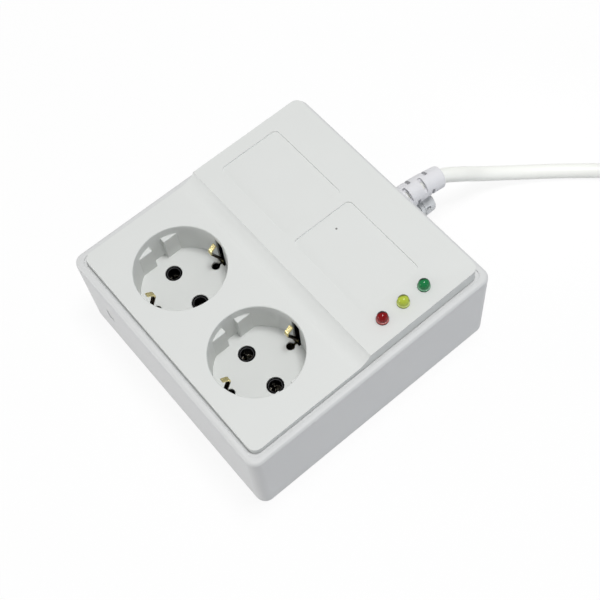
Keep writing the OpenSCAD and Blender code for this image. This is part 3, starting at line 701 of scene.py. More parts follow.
    def dress(
        self, finish: Finish, slot: str, replaces: Sequence[str] = (), rides: Body = Body.HOUSING
    ) -> bpy.types.Object:
        """Clean the mesh, smooth it, give it its finish and hand it over.

        Args:
            finish: Finish of the piece.
            slot: Material slot of the record; not used.
            replaces: Nodes of the solid model that the piece stands for.
            rides: Body that the piece moves with.

        Returns:
            The finished object.
        """
        self.edit()
        bpy.ops.mesh.select_all(action="SELECT")
        bpy.ops.mesh.remove_doubles(threshold=self.WELD * MM)
        bpy.ops.mesh.normals_make_consistent(inside=False)
        self.activate()
        bpy.ops.object.shade_smooth_by_angle(angle=math.radians(self.SHARP))
        self.modify("WEIGHTED_NORMAL", mode="FACE_AREA", weight=50, keep_sharp=True)
        self.body.data.materials.clear()
        self.body.data.materials.append(finish.material())
        hand_over(self.body, replaces, rides)
        return self.body


def hand_over(
    body: bpy.types.Object, replaces: Sequence[str], rides: Body = Body.HOUSING
) -> None:
    """Tell the frame what a piece is and report it.

    Args:
        body: The finished object.
        replaces: Nodes of the solid model that it stands for.
        rides: Body that it moves with.
    """
    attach(body, rides.value)
    if replaces:
        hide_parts(*replaces)
    LOG.info("piece %s stands for %s", body.name, ", ".join(replaces) or "itself")


@dataclass
class Studio:
    """Camera, lamps, floor and white surroundings.

    A lamp has its name, its place, its size, its power and its colour. A beam has its name, its place, the
    point it faces, the width of its patch and its power. Lengths are in millimetres and powers in watts.
    """

    eye: Point = (-116.53, -198.51, 459.82)
    right: Point = (0.76742, -0.63756, -0.06772)
    down: Point = (-0.59287, -0.66547, -0.45349)
    forward: Point = (0.24406, 0.38817, -0.88868)
    lens: float = 67.964
    sensor: float = 36.0
    nearest: float = 0.01
    middle: Point = (0, 0, 30)
    ambient: float = 0.415
    floor_reach: float = 3000.0
    floor_depth: float = 20.0
    floor_round: float = 4.0
    floor_shade: Shade = (0.66, 0.66, 0.67, 1.0)
    floor_roughness: float = 0.8
    floor_glow: float = 0.9
    lamps: tuple[tuple[str, Point, float, float, Point], ...] = (
        ("lamp_top", (120, -60, 1000), 260, 5.1, (1.0, 1.0, 1.0)),
        ("lamp_left", (-850, 400, 140), 300, 2.0, (1.0, 1.0, 1.0)),
        ("lamp_front", (440, -850, 150), 300, 0.66, (0.7, 0.82, 1.0)),
    )
    beams: tuple[tuple[str, Point, Point, float, float], ...] = (
        ("lamp_cord", (60, -160, 1000), (134, -22, 8), 104, 7.6),
    )
    beam_blend: float = 0.4
    beam_size: float = 30.0

    def camera(self) -> None:
        """Place the camera as it was solved from the picture."""
        data = bpy.data.cameras.new("camera")
        data.sensor_fit = "HORIZONTAL"
        data.sensor_width = self.sensor
        data.lens = self.lens
        data.clip_start = self.nearest
        camera = bpy.data.objects.new("camera", data)
        turn = Matrix((self.right, -Vector(self.down), -Vector(self.forward))).transposed()
        camera.matrix_world = Matrix.Translation(metres(*self.eye)) @ turn.to_4x4()
        bpy.context.scene.collection.objects.link(camera)
        bpy.context.scene.camera = camera
        bpy.context.scene.view_settings.view_transform = "Standard"

    def floor(self) -> None:
        """Lay a wide white floor that keeps a soft shadow."""
        reach = self.floor_reach
        piece = Workpiece.block("floor", (0, 0), (reach, reach), (-self.floor_depth, 0))
        piece.bevel(lambda seam: seam.at_height(0), self.floor_round)
        tree = ShaderTree("floor_white")
        seen = tree.node("ShaderNodeLightPath", output="Is Camera Ray")
        mirrored = tree.node("ShaderNodeLightPath", output="Is Glossy Ray")
        tree.set(Base_Color=tree.blend(seen, self.floor_shade, WHITE), Roughness=self.floor_roughness)
        glow = tree.node("ShaderNodeEmission", None, {"Color": WHITE, "Strength": 1.0})
        share = self.floor_glow * seen + mirrored
        plain = Signal(tree, tree.surface.outputs[0])
        mix = tree.node("ShaderNodeMixShader", None, {0: share, 1: plain, 2: glow})
        tree.feed(tree.nodes["Material Output"].inputs["Surface"], mix)
        piece.body.data.materials.append(tree.material)

    def world(self) -> None:
        """Surround the scene with even light that looks white to the camera."""
        world = bpy.data.worlds.new("world")
        bpy.context.scene.world = world
        world.use_nodes = True
        nodes, links = world.node_tree.nodes, world.node_tree.links
        background = nodes["Background"]
        background.inputs["Color"].default_value = WHITE
        path = nodes.new("ShaderNodeLightPath")
        span = nodes.new("ShaderNodeMapRange")
        span.inputs["To Min"].default_value = self.ambient
        span.inputs["To Max"].default_value = 1.0
        links.new(path.outputs["Is Camera Ray"], span.inputs["Value"])
        links.new(span.outputs["Result"], background.inputs["Strength"])

    @staticmethod
    def hang(data: bpy.types.Light, place: Point, target: Point) -> None:
        """Hang a lamp at a place so that it faces a point, both in millimetres."""
        lamp = bpy.data.objects.new(data.name, data)
        lamp.location = metres(*place)
        lamp.rotation_euler = (Vector(target) - Vector(place)).to_track_quat("-Z", "Y").to_euler()
        bpy.context.scene.collection.objects.link(lamp)

    def lamp(self, name: str, place: Point, size: float, power: float, colour: Point) -> None:
        """Hang a soft square lamp that faces the middle of the housing.

        Args:
            name: Name of the lamp.
            place: Place of the lamp in millimetres.
            size: Length of a side in millimetres.
            power: Power in watts.
            colour: Colour of its light.
        """
        data = bpy.data.lights.new(name, "AREA")
        data.size = size * MM
        data.energy = power
        data.color = colour
        self.hang(data, place, self.middle)

    def beam(self, name: str, place: Point, target: Point, width: float, power: float) -> None:
        """Aim a narrow soft beam.

        Args:
            name: Name of the lamp.
            place: Place of the lamp in millimetres.
            target: Point that it faces.
            width: Width of the lit patch in millimetres.
            power: Power in watts.
        """
        data = bpy.data.lights.new(name, "SPOT")
        data.spot_size = 2 * math.atan(width / 2 / (Vector(target) - Vector(place)).length)
        data.spot_blend = self.beam_blend
        data.shadow_soft_size = self.beam_size * MM
        data.energy = power
        self.hang(data, place, target)

    def build(self) -> None:
        """Set the whole studio up."""
        self.camera()
        self.floor()
        self.world()
        for lamp in self.lamps:
            self.lamp(*lamp)
        for beam in self.beams:
            self.beam(*beam)


@dataclass
class SleeveBend:
    """Curve of the cord through its bent sleeve, in millimetres and degrees."""

    start: Point = (68.0, -1.8, 28.4)
    radius: float = 112.0
    angle: float = 11.0
    turn: float = 40.0

    @property
    def droop(self) -> Vector:
        """Unit vector from the start towards the middle of the bend."""
        return Vector((0, -math.cos(math.radians(self.turn)), -math.sin(math.radians(self.turn))))

    def point(self, degrees: float) -> Vector:
        """Point on the middle of the bend in millimetres."""
        angle = math.radians(degrees)
        along = Vector((self.radius * math.sin(angle), 0, 0))
        return Vector(self.start) + along + self.radius * (1 - math.cos(angle)) * self.droop

    def direction(self, degrees: float) -> Vector:
        """Direction of the bend."""
        angle = math.radians(degrees)
        return Vector((math.cos(angle), 0, 0)) + math.sin(angle) * self.droop


@dataclass
class PowerCord:
    """Round mains cord from the sleeve over the floor into a coil and on to the plug.

    Each stop of the laps has its angle in degrees, the radius of the coil and its height in millimetres.
    A pull sets how strongly the curve keeps to the direction at the sleeve, the coil or the plug.
    """

    radius: float = 3.5
    fineness: int = 6
    lap_steps: int = 480
    sleeve_pull: float = 12.0
    coil_pull: float = 20.0
    plug_pull: float = 8.0
    coil: Point = (227.0, -46.0)
    run: tuple[Point, ...] = (
        (99.5, -6.6, 22.2), (112, -9, 12.5), (128, -16.5, 5.6), (143, -27.4, 3.7), (158.6, -41, 3.5),
        (179, -59.2, 3.5),
    )
    tail: tuple[Point, ...] = (
        (269, -44, 24.2), (269, -33, 21.4), (269, -20, 13.8), (269, -13, 11.4),
    )
    tail_end: Point = (269.0, -6.6, 11.0)
    laps: tuple[tuple[float, float, float], ...] = (
        (228, 42, 3.5), (528, 42, 3.5), (583, 35, 3.5), (848, 35, 3.5), (888, 35, 10.5), (1168, 35, 10.5),
        (1208, 42, 10.5), (1488, 42, 10.5), (1528, 42, 17.5), (1808, 42, 17.5), (1848, 35, 17.5),
        (2064, 35, 17.5), (2118, 37.5, 24.5), (2152, 42, 24.5),
    )

    @staticmethod
    def through(before: Vector, start: Vector, end: Vector, after: Vector, share: float) -> Vector:
        """Point at a share of the way from the second to the third of four points."""
        slope = (end - before) * share
        square = (2 * before - 5 * start + 4 * end - after) * share * share
        cube = (3 * start - before - 3 * end + after) * share ** 3
        return 0.5 * (2 * start + slope + square + cube)

    def curve(self, points: Sequence[Point], before: Vector, after: Vector, steps: int = 8) -> list[Vector]:
        """Lay a smooth curve through points.

        Args:
            points: Points of the curve.
            before: Point ahead of the first one, which sets the direction at the start.
            after: Point behind the last one.
            steps: Number of steps between two points.

        Returns:
            The points of the smooth curve.
        """
        row = [before, *[Vector(point) for point in points], after]
        smoothed = []
        for first in range(len(row) - 3):
            smoothed += [self.through(*row[first:first + 4], k / steps) for k in range(steps)]
        return [*smoothed, row[-2]]

    def lap_point(self, degrees: float) -> Vector:
        """Point of the coil at an angle that counts on from turn to turn."""
        for start, end in zip(self.laps, self.laps[1:]):
            if degrees <= end[0]:
                break
        share = smooth((degrees - start[0]) / (end[0] - start[0]))
        radius, height = (low + (high - low) * share for low, high in zip(start[1:], end[1:]))
        turn = math.radians(degrees)
        x, y = self.coil
        return Vector((x + radius * math.cos(turn), y + radius * math.sin(turn), height))

    def route(self, bend: SleeveBend) -> list[Vector]:
        """Give the middle of the whole cord in millimetres."""
        end, heading = bend.point(bend.angle), bend.direction(bend.angle)
        first, last = self.laps[0][0], self.laps[-1][0]
        steps = self.lap_steps
        coil = [self.lap_point(first + (last - first) * k / steps) for k in range(steps + 1)]
        into = (coil[1] - coil[0]).normalized()
        before, after = end - self.sleeve_pull * heading, coil[0] + self.coil_pull * into
        run = self.curve([end, *self.run, coil[0]], before, after)
        plug = Vector(self.tail_end) + Vector((0, self.plug_pull, 0))
        down = self.curve([*self.tail, self.tail_end], coil[-1], plug)
        return run[:-1] + coil + down

    def build(self, bend: SleeveBend) -> bpy.types.Object:
        """Make the cord as one open spline."""
        points = self.route(bend)
        data = bpy.data.curves.new("mains_cord", "CURVE")
        data.dimensions = "3D"
        data.bevel_depth = self.radius * MM
        data.bevel_resolution = self.fineness
        data.use_fill_caps = True
        spline = data.splines.new("POLY")
        spline.points.add(len(points) - 1)
        for knot, point in zip(spline.points, points):
            knot.co = (*metres(*point), 1.0)
        cord = bpy.data.objects.new("mains_cord", data)
        bpy.context.scene.collection.objects.link(cord)
        data.materials.append(Finishes.SHEATH.material())
        hand_over(cord, ("cord_free", "cord_coil", "cord_tail"))
        length = sum((end - start).length for start, end in zip(points, points[1:])) * MM
        LOG.info("cord is %.3f m long", length)
        return cord


@dataclass
class Plug:
    """Round earthed plug lying on its back, with its sizes in millimetres.

    The neck is given by places along the cord and the radius there.
    """

    x: float = 269.0
    y: float = 34.0
    radius: float = 18.6
    height: float = 24.0
    foot_round: float = 2.0
    top_round: float = 0.8
    cord_z: float = 11.0
    heading: Point = (0, -1, 0)
    overlap: float = 2.0
    neck: tuple[Span, ...] = ((4, 8.4), (0, 7.6), (-8, 6.6), (-16, 5.8), (-23.4, 5.0), (-24, 4.5))
    rings: int = 4
    first_ring: float = 5.0
    ring_pitch: float = 4.6
    ring_radius: float = 9.0
    ring_width: float = 1.4
    ring_core: float = 5.6
    ring_taper: float = 0.45
    channel: Span = (3.0, 3.2)
    channel_inset: float = 1.5
    channel_depth: float = 16.0
    way: Span = (3.2, 1.5)
    way_inset: float = 0.7
    way_depth: float = 18.0
    pin_offset: float = 9.5
    pin_radius: float = 1.9
    pin_depth: float = 6.0
    above: float = 40.0

    @property
    def root(self) -> float:
        """Place along Y where the sleeve of the cord leaves the body."""
        return self.y - self.radius + self.overlap

    def ring(self, number: int) -> Workpiece:
        """Build the cutter of one groove round the sleeve of the cord."""
        x, y, z = self.x, self.root - self.first_ring - self.ring_pitch * number, self.cord_z
        core = self.ring_core - self.ring_taper * number
        ring = Workpiece.rod("groove", (x, y, z), self.ring_radius, self.ring_width, self.heading, 48)
        return ring.cut(Workpiece.rod("core", (x, y + 1, z), core, 4.0, self.heading, 48))

    def contact_cuts(self, side: int) -> list[Workpiece]:
        """Build the cutters of an earth channel, a guide way and the root of a pin at one side."""
        x, y, top = self.x, self.y, self.height
        channel = (x + side * (self.radius - self.channel_inset), y)
        way = (x, y + side * (self.radius - self.way_inset))
        pin = (x, y + side * self.pin_offset, top - self.pin_depth)
        return [
            Workpiece.block("channel", channel, self.channel, (top - self.channel_depth, self.above)),
            Workpiece.block("way", way, self.way, (top - self.way_depth, self.above)),
            Workpiece.rod("root", pin, self.pin_radius, self.pin_depth + 2, sides=32),
        ]

    def build(self) -> bpy.types.Object:
        """Build the moulded body with its tapered sleeve."""
        body = Workpiece.rod("plug_shell", (self.x, self.y, 0), self.radius, self.height, sides=96)
        body.bevel(lambda seam: seam.at_height(0), self.foot_round, 4)
        body.bevel(lambda seam: seam.at_height(self.height), self.top_round, 3)
        circles = [((self.x, self.root + step, self.cord_z), self.heading, radius)
                   for step, radius in self.neck]
        body.fuse(Workpiece.loft("plug_sleeve", circles))
        cutters = [self.ring(number) for number in range(self.rings)]
        for side in (-1, 1):
            cutters += self.contact_cuts(side)
        body.cut(cutters[0].joined(*cutters[1:]))
        return body.dress(Finishes.PLUG, "cord_sheath", ("plug_body",))


@dataclass
class Housing:
    """Sizes in millimetres that the tray, the cover and the pieces between them share.

    A cutter runs past the surface by the spare length. An edge within the touch distance of a place lies
    there.
    """

    length: float = 127.0
    width: float = 124.5
    rim_height: float = 45.7
    wall: float = 2.6
    rim: float = 3.0
    groove: float = 1.2
    skirt: float = 2.0
    skirt_depth: float = 3.0
    low: float = 48.4
    high: float = 52.6
    post: Span = (52.0, 51.0)
    socket_x: float = -31.3
    socket_ys: Span = (26.5, -24.8)
    pin_offset: float = 9.5
    clip_reach: float = 19.6
    clip_foot: float = 18.4
    strip_reach: float = 7.0
    strip_half: float = 2.5
    strip_foot: float = 11.2
    first_light: Span = (14.4, -49.25)
    light_pitch: float = 11.15
    cord_entry: Span = (-1.8, 28.4)
    fuse_entry: Span = (-4.0, 16.1)
    outwards: Point = (1, 0, 0)
    spare: float = 1.0
    touch: float = 0.05

    @property
    def seat(self) -> float:
        """Height where the cover rests in the tray."""
        return self.rim_height - self.skirt_depth

    def posts(self) -> list[Span]:
        """Places of the four cover posts."""
        return [(x * self.post[0], y * self.post[1]) for x in (-1, 1) for y in (-1, 1)]

    def sockets(self) -> list[Span]:
        """Middles of the two sockets."""
        return [(self.socket_x, y) for y in self.socket_ys]

    def light_places(self) -> list[Span]:
        """Middles of the three lights."""
        x, y = self.first_light
        return [(x + self.light_pitch * k, y) for k in range(3)]

    def inside(self, name: str, inset: float, corner: float, bottom: float, top: float) -> Workpiece:
        """Make a rounded block that keeps a distance from the outside of the housing."""
        x, y = self.length / 2 - inset, self.width / 2 - inset
        return Workpiece.rounded_box(name, (-x, -y, bottom), (x, y, top), corner)

    def outward(self, name: str, entry: Span, size: Triple, sides: int = 64) -> Workpiece:
        """Make a rod square to the side wall with the cord.

        Args:
            name: Name of the piece.
            entry: Place of its axis along Y and Z.
            size: Its start, counted outwards from the wall, its radius and its length.
            sides: Number of flat sides.

        Returns:
            The new workpiece.
        """
        (start, radius, length), (y, z) = size, entry
        return Workpiece.rod(name, (self.length / 2 + start, y, z), radius, length, self.outwards, sides)


@dataclass
class Tray(Housing):
    """Lower half of the housing with its wide rim, ribs, posts and openings."""

    corner: float = 4.8
    cavity_corner: float = 3.2
    mouth_corner: float = 3.88
    rebate_corner: float = 3.6
    top_round: float = 1.5
    foot_round: float = 1.0
    inner_round: float = 0.3
    floor: float = 2.6
    rooted: float = 1.0
    rim_depth: float = 8.0
    ledge: float = 1.12
    ledge_depth: float = 0.6
    rib: float = 2.4
    rib_xs: tuple[float, ...] = (-36, 0, 36)
    rib_ys: tuple[float, ...] = (-30, 30)
    rib_reach: float = 0.3
    rib_bite: float = 0.1
    post_radius: float = 4.8
    post_height: float = 8.0
    board_post: float = 3.4
    board_height: float = 24.0
    board_posts: tuple[Span, ...] = ((6.5, -51.0), (39.5, -42.0), (6.5, 37.0), (39.5, 37.0))
    clip_post: float = 2.2
    stand_half: float = 4.0
    bridge: tuple[Point, Point] = ((50, -17.3, 1), (54, 10.7, 24.8))
    screw_head: float = 3.5
    head_top: float = 5.0
    screw_bore: float = 1.8
    bore_foot: float = 2.0
    board_bore: float = 1.5
    board_bore_foot: float = 12.0
    bore_length: float = 20.0
    cord_bore: Triple = (-8.0, 5.2, 12.0)
    cord_room: Triple = (-15.0, 3.8, 8.0)
    fuse_bore: Triple = (-8.0, 5.3, 12.0)
    fuse_room: Triple = (-15.0, 6.4, 8.0)
    window: tuple[Point, Point] = ((-65.0, 39.0, 20.4), (-60.3, 43.0, 27.8))

    def shell(self) -> Workpiece:
        """Build the hollow tray with a step under the rim and a narrow ledge beside the cover."""
        x, y = self.length / 2, self.width / 2
        above, under = self.rim_height + self.spare, self.rim_height - self.rim_depth
        shell = Workpiece.rounded_box("tray", (-x, -y, 0), (x, y, self.rim_height), self.corner,
                                      self.top_round, self.foot_round)
        shell.cut(
            self.inside("cavity", self.wall, self.cavity_corner, self.floor, under),
            self.inside("mouth", self.rim + self.ledge, self.mouth_corner, under - self.spare, above),
            self.inside("rebate", self.rim, self.rebate_corner, self.rim_height - self.ledge_depth, above),
        )
        x, y = x - self.rim + self.touch, y - self.rim + self.touch
        return shell.bevel(lambda seam: seam.at_height(self.rim_height) and abs(seam.middle.y) < y
                           and abs(seam.middle.x) < x, self.inner_round, 3)

    def ribs(self) -> list[Workpiece]:
        """Build the ribs that carry the cover."""
        deep = self.rim + self.groove + self.skirt + self.rib_reach - self.wall
        reach, half = deep / 2 + self.rib_bite, self.rib / 2
        x, y = (side / 2 - self.wall - deep / 2 + self.rib_bite for side in (self.length, self.width))
        spots = []
        for side in (-1, 1):
            spots += [((side * x, rib_y), (reach, half)) for rib_y in self.rib_ys]
            spots += [((rib_x, side * y), (half, reach)) for rib_x in self.rib_xs]
        return [Workpiece.block("rib", middle, size, (self.rooted, self.seat)) for middle, size in spots]

    def supports(self) -> list[Workpiece]:
        """Build the posts and the blocks that stand on the floor."""
        foot = self.rooted
        made = [Workpiece.rod("post", (x, y, foot), self.post_radius, self.post_height, sides=40)
                for x, y in self.posts()]
        made += [Workpiece.rod("post", (x, y, foot), self.board_post, self.board_height - foot, sides=32)
                 for x, y in self.board_posts]
        for x, y in self.sockets():
            for side in (-1, 1):
                clip = (x + side * self.clip_reach, y, foot)
                made.append(Workpiece.rod("post", clip, self.clip_post, self.clip_foot - foot, sides=24))
                stand = (x + side * self.strip_reach, y)
                made.append(Workpiece.block("stand", stand, (self.strip_half, self.stand_half),
                                            (foot, self.strip_foot)))
        made.append(Workpiece.box("bridge", *self.bridge))
        return made

    def openings(self) -> list[Workpiece]:
        """Build the cutters for the screws, the cord, the fuse holder and the latch."""
        holes = []
        for x, y in self.posts():
            head = self.head_top + self.spare
            holes.append(Workpiece.rod("hole", (x, y, -self.spare), self.screw_head, head, sides=40))
            holes.append(Workpiece.rod("hole", (x, y, self.bore_foot), self.screw_bore, self.bore_length))
        for x, y in self.board_posts:
            foot = (x, y, self.board_bore_foot)
            holes.append(Workpiece.rod("hole", foot, self.board_bore, self.bore_length, sides=24))
        for entry, size in (
            (self.cord_entry, self.cord_bore), (self.fuse_entry, self.fuse_bore),
            (self.fuse_entry, self.fuse_room), (self.cord_entry, self.cord_room),
        ):
            holes.append(self.outward("hole", entry, size))
        return [*holes, Workpiece.box("window", *self.window)]

    def on_window(self, seam: Seam) -> bool:
        """Say whether an edge bounds the latch window on the outer wall."""
        inside = all(low - self.touch < seam.middle[axis] < high + self.touch
                     for axis, (low, high) in enumerate(zip(*self.window)))
        return inside and abs(seam.middle.x + self.length / 2) < NEAR

    def build(self) -> bpy.types.Object:
        """Build and dress the tray."""
        shell = self.shell()
        ribs, supports = self.ribs(), self.supports()
        shell.fuse(ribs[0].joined(*ribs[1:]), supports[0].joined(*supports[1:]))
        for hole in self.openings():
            shell.cut(hole)
        shell.bevel(self.on_window, self.inner_round, 2)
        return shell.dress(Finishes.TRAY, "tray_plastic", ("base_tray",))


@dataclass
class Cover(Housing):
    """Stepped cover with two deep sockets, label recesses and holes for the lights."""

    corner: float = 3.8
    inner_corner: float = 1.8
    outline_round: float = 1.2
    step_x: float = -6.7
    step_radius: float = 8.1
    step_reach: float = 90.0
    step_top: float = 70.0
    plate: float = 2.5
    well_radius: float = 20.0
    well_floor: float = 30.0
    well_depth: float = 30.0
    well_round: float = 0.6
    cup_radius: float = 22.0
    cup_foot: float = 27.5
    lug_across: Span = (3.0, 10.2)
    lug_along: Span = (17.2, 22.0)
    lug_drop: float = 5.0
    lug_round: float = 0.45
    post_radius: float = 3.6
    post_foot: float = 9.0
    screw_bore: float = 1.8
    screw_depth: float = 14.0
    hole_depth: float = 10.0
    tongue_y: Span = (39.3, 42.7)
    tongue_foot: float = 20.7
    tongue_play: float = 0.2
    tongue: float = 1.7
    hook: tuple[Point, Point] = ((-63.2, 39.25, 20.8), (-58.3, 42.75, 26.8))
    hook_round: float = 0.5
    pin_hole: float = 3.77
    pin_round: float = 0.25
    mould_reach: float = 16.0
    mould_hole: float = 1.95
    mould_recess: float = 3.0
    slot_reach: float = 21.2
    slot: Span = (2.5, 2.5)
    slot_drop: float = 3.2
    room_reach: float = 22.4
    room: Span = (1.7, 4.6)
    notch_reach: float = 17.5
    notch_shift: float = 0.25
    notch: Span = (1.5, 0.65)
    light_hole: float = 2.6
    label_x: Span = (10.2, 41.2)
    label_ys: tuple[Span, ...] = ((6.5, 51.2), (-42.2, 2.2))
    label_depth: float = 0.6
    label_corner: float = 2.5
    label_round: float = 0.08

    def step(self, bottom: float) -> Workpiece:
        """Build the block that lies over the low panel."""
        reach, end = self.step_reach, self.step_x + self.step_radius
        return Workpiece.box("step", (-reach, -reach, bottom), (end, reach, self.step_top))

    def skin(self) -> Workpiece:
        """Build the outside with its curved step and soft outline."""
        x, y = (side / 2 - self.rim - self.groove for side in (self.length, self.width))
        skin = Workpiece.rounded_box("cover", (-x, -y, self.seat), (x, y, self.high), self.corner)
        step = self.step(self.low)
        step.bevel(lambda seam: seam.runs(Axis.Y) and seam.at_height(self.low) and seam.middle.x > 0,
                   self.step_radius, 40)
        skin.cut(step)
        return skin.bevel(self.is_outline, self.outline_round, 5)

    def is_outline(self, seam: Seam) -> bool:
        """Say whether an edge bounds the top against the side walls."""
        upright = any(abs(normal.z) < NEAR for normal in seam.normals)
        upwards = any(normal.z > 0.1 for normal in seam.normals)
        return upright and upwards and seam.middle.z > self.low - self.touch and self.near_wall(seam)

    def near_wall(self, seam: Seam) -> bool:
        """Say whether an edge lies on the outline seen from above."""
        inset = self.rim + self.groove + self.outline_round
        return abs(seam.middle.x) > self.length / 2 - inset or abs(seam.middle.y) > self.width / 2 - inset

    def hollow(self, skin: Workpiece) -> None:
        """Take the inside out of the skin."""
        inset = self.rim + self.groove + self.skirt
        foot, top = self.seat - self.spare, self.high - self.plate
        block = self.inside("inside", inset, self.inner_corner, foot, top)
        skin.cut(block.cut(self.step(self.low - self.plate)))

    def additions(self) -> list[Workpiece]:
        """Build the socket cups, the screw posts and the latch."""
        made = []
        for x, y in self.sockets():
            height = self.low - self.spare - self.cup_foot
            made.append(Workpiece.rod("cup", (x, y, self.cup_foot), self.cup_radius, height, sides=96))
        for x, y in self.posts():
            height = (self.high if x > 0 else self.low) - self.spare - self.post_foot
            made.append(Workpiece.rod("post", (x, y, self.post_foot), self.post_radius, height, sides=32))
        x = -self.length / 2 + self.rim + self.groove + self.tongue_play
        (front, back), end = self.tongue_y, x + self.tongue
        tongue = Workpiece.box("tongue", (x, front, self.tongue_foot), (end, back, self.seat + self.spare))
        hook = Workpiece.box("hook", *self.hook)
        hook.bevel(lambda seam: seam.runs(Axis.Y) and abs(seam.middle.x - self.hook[0][0]) < NEAR,
                   self.hook_round, 3)
        return [*made, tongue, hook]

    def lug(self, x: float, y: float, side: int, across: int) -> Workpiece:
        """Build one guide lug of a socket."""
        foot, top = self.well_floor - self.spare, self.low - self.lug_drop
        near, far = sorted(across * reach for reach in self.lug_across)
        front, back = sorted(side * reach for reach in self.lug_along)
        lug = Workpiece.box("lug", (x + near, y + front, foot), (x + far, y + back, top))
        return lug.bevel(lambda seam: seam.at_height(top) or seam.runs(Axis.Z), self.lug_round, 3)

    def well(self, x: float, y: float) -> Workpiece:
        """Build the cutter of one socket recess, with its four guide lugs left standing."""
        well = Workpiece.rod("well", (x, y, self.well_floor), self.well_radius, self.well_depth, sides=128)
        for side in (-1, 1):
            for across in (-1, 1):
                well.cut(self.lug(x, y, side, across))
        return well

    def clip_slot(self, x: float, y: float, side: int) -> list[Workpiece]:
        """Build the cutters of one clip slot, of the room behind it and of the notch in the floor."""
        foot, top = self.cup_foot - self.spare, self.low - self.slot_drop
        notch = (x + side * self.notch_reach, y - side * self.notch_shift)
        return [
            Workpiece.block("slot", (x + side * self.slot_reach, y), self.slot, (foot, top)),
            Workpiece.block("room", (x + side * self.room_reach, y), self.room, (foot, top)),
            Workpiece.block("notch", notch, self.notch, (foot, self.well_floor + self.spare)),
        ]

    def socket_holes(self, x: float, y: float) -> list[Workpiece]:
        """Build the cutters of the pin holes, mould holes and clip slots of one socket."""
        foot, depth, recess = self.cup_foot - self.spare, self.hole_depth, self.well_floor - self.cup_foot
        pins = [(x, y + side * self.pin_offset, foot) for side in (-1, 1)]
        moulds = [(x + side * self.mould_reach, y, foot) for side in (-1, 1)]
        made = [Workpiece.rod("pin_hole", place, self.pin_hole, depth) for place in pins]
        made += [Workpiece.rod("mould_hole", place, self.mould_hole, depth, sides=32) for place in moulds]
        made += [Workpiece.rod("mould_recess", place, self.mould_recess, recess, sides=32)
                 for place in moulds]
        return made + self.clip_slot(x, y, -1) + self.clip_slot(x, y, 1)

    def holes(self) -> list[Workpiece]:
        """Build the cutters of all the holes of the sockets, the screws and the lights."""
        made = []
        for x, y in self.sockets():
            made += self.socket_holes(x, y)
        for x, y in self.posts():
            foot = (x, y, self.post_foot - self.spare)
            made.append(Workpiece.rod("screw_hole", foot, self.screw_bore, self.screw_depth, sides=24))
        for x, y in self.light_places():
            foot = (x, y, self.high - self.hole_depth)
            made.append(Workpiece.rod("light_hole", foot, self.light_hole, 2 * self.hole_depth))
        return made

    def labels(self) -> list[Workpiece]:
        """Build the cutters of the two bare label recesses."""
        left, right = self.label_x
        return [Workpiece.rounded_box("label", (left, front, self.high - self.label_depth),
                                      (right, back, self.high + 2), self.label_corner)
                for front, back in self.label_ys]

    def on_rim(self, seam: Seam, radius: float, offset: float, height: float) -> bool:
        """Say whether an edge lies on a circle at a distance from the middle of a socket."""
        return seam.at_height(height) and any(
            abs(seam.from_axis(x, y + offset) - radius) < self.touch for x, y in self.sockets())

    def on_label(self, seam: Seam) -> bool:
        """Say whether an edge bounds a label recess."""
        left, right = self.label_x[0] - self.touch, self.label_x[1] + self.touch
        front = self.label_ys[1][0] - self.touch
        inside = left < seam.middle.x < right and seam.middle.y > front
        return inside and seam.is_sharp and seam.at_height(self.high)

    def soften(self, cover: Workpiece) -> None:
        """Round the rims of the sockets, of the pin holes and of the label recesses."""
        cover.bevel(lambda seam: self.on_rim(seam, self.well_radius, 0, self.low), self.well_round, 4)
        for offset in (-self.pin_offset, self.pin_offset):
            cover.bevel(lambda seam: self.on_rim(seam, self.pin_hole, offset, self.well_floor),
                        self.pin_round, 2)
        cover.bevel(self.on_label, self.label_round, 2)

    def build(self) -> bpy.types.Object:
        """Build and dress the cover."""
        cover = self.skin()
        self.hollow(cover)
        for addition in self.additions():
            cover.fuse(addition)
        for x, y in self.sockets():
            cover.cut(self.well(x, y))
        for cutter in self.holes() + self.labels():
            cover.cut(cutter)
        self.soften(cover)
        return cover.dress(Finishes.COVER, "cover_plastic", ("top_cover",))


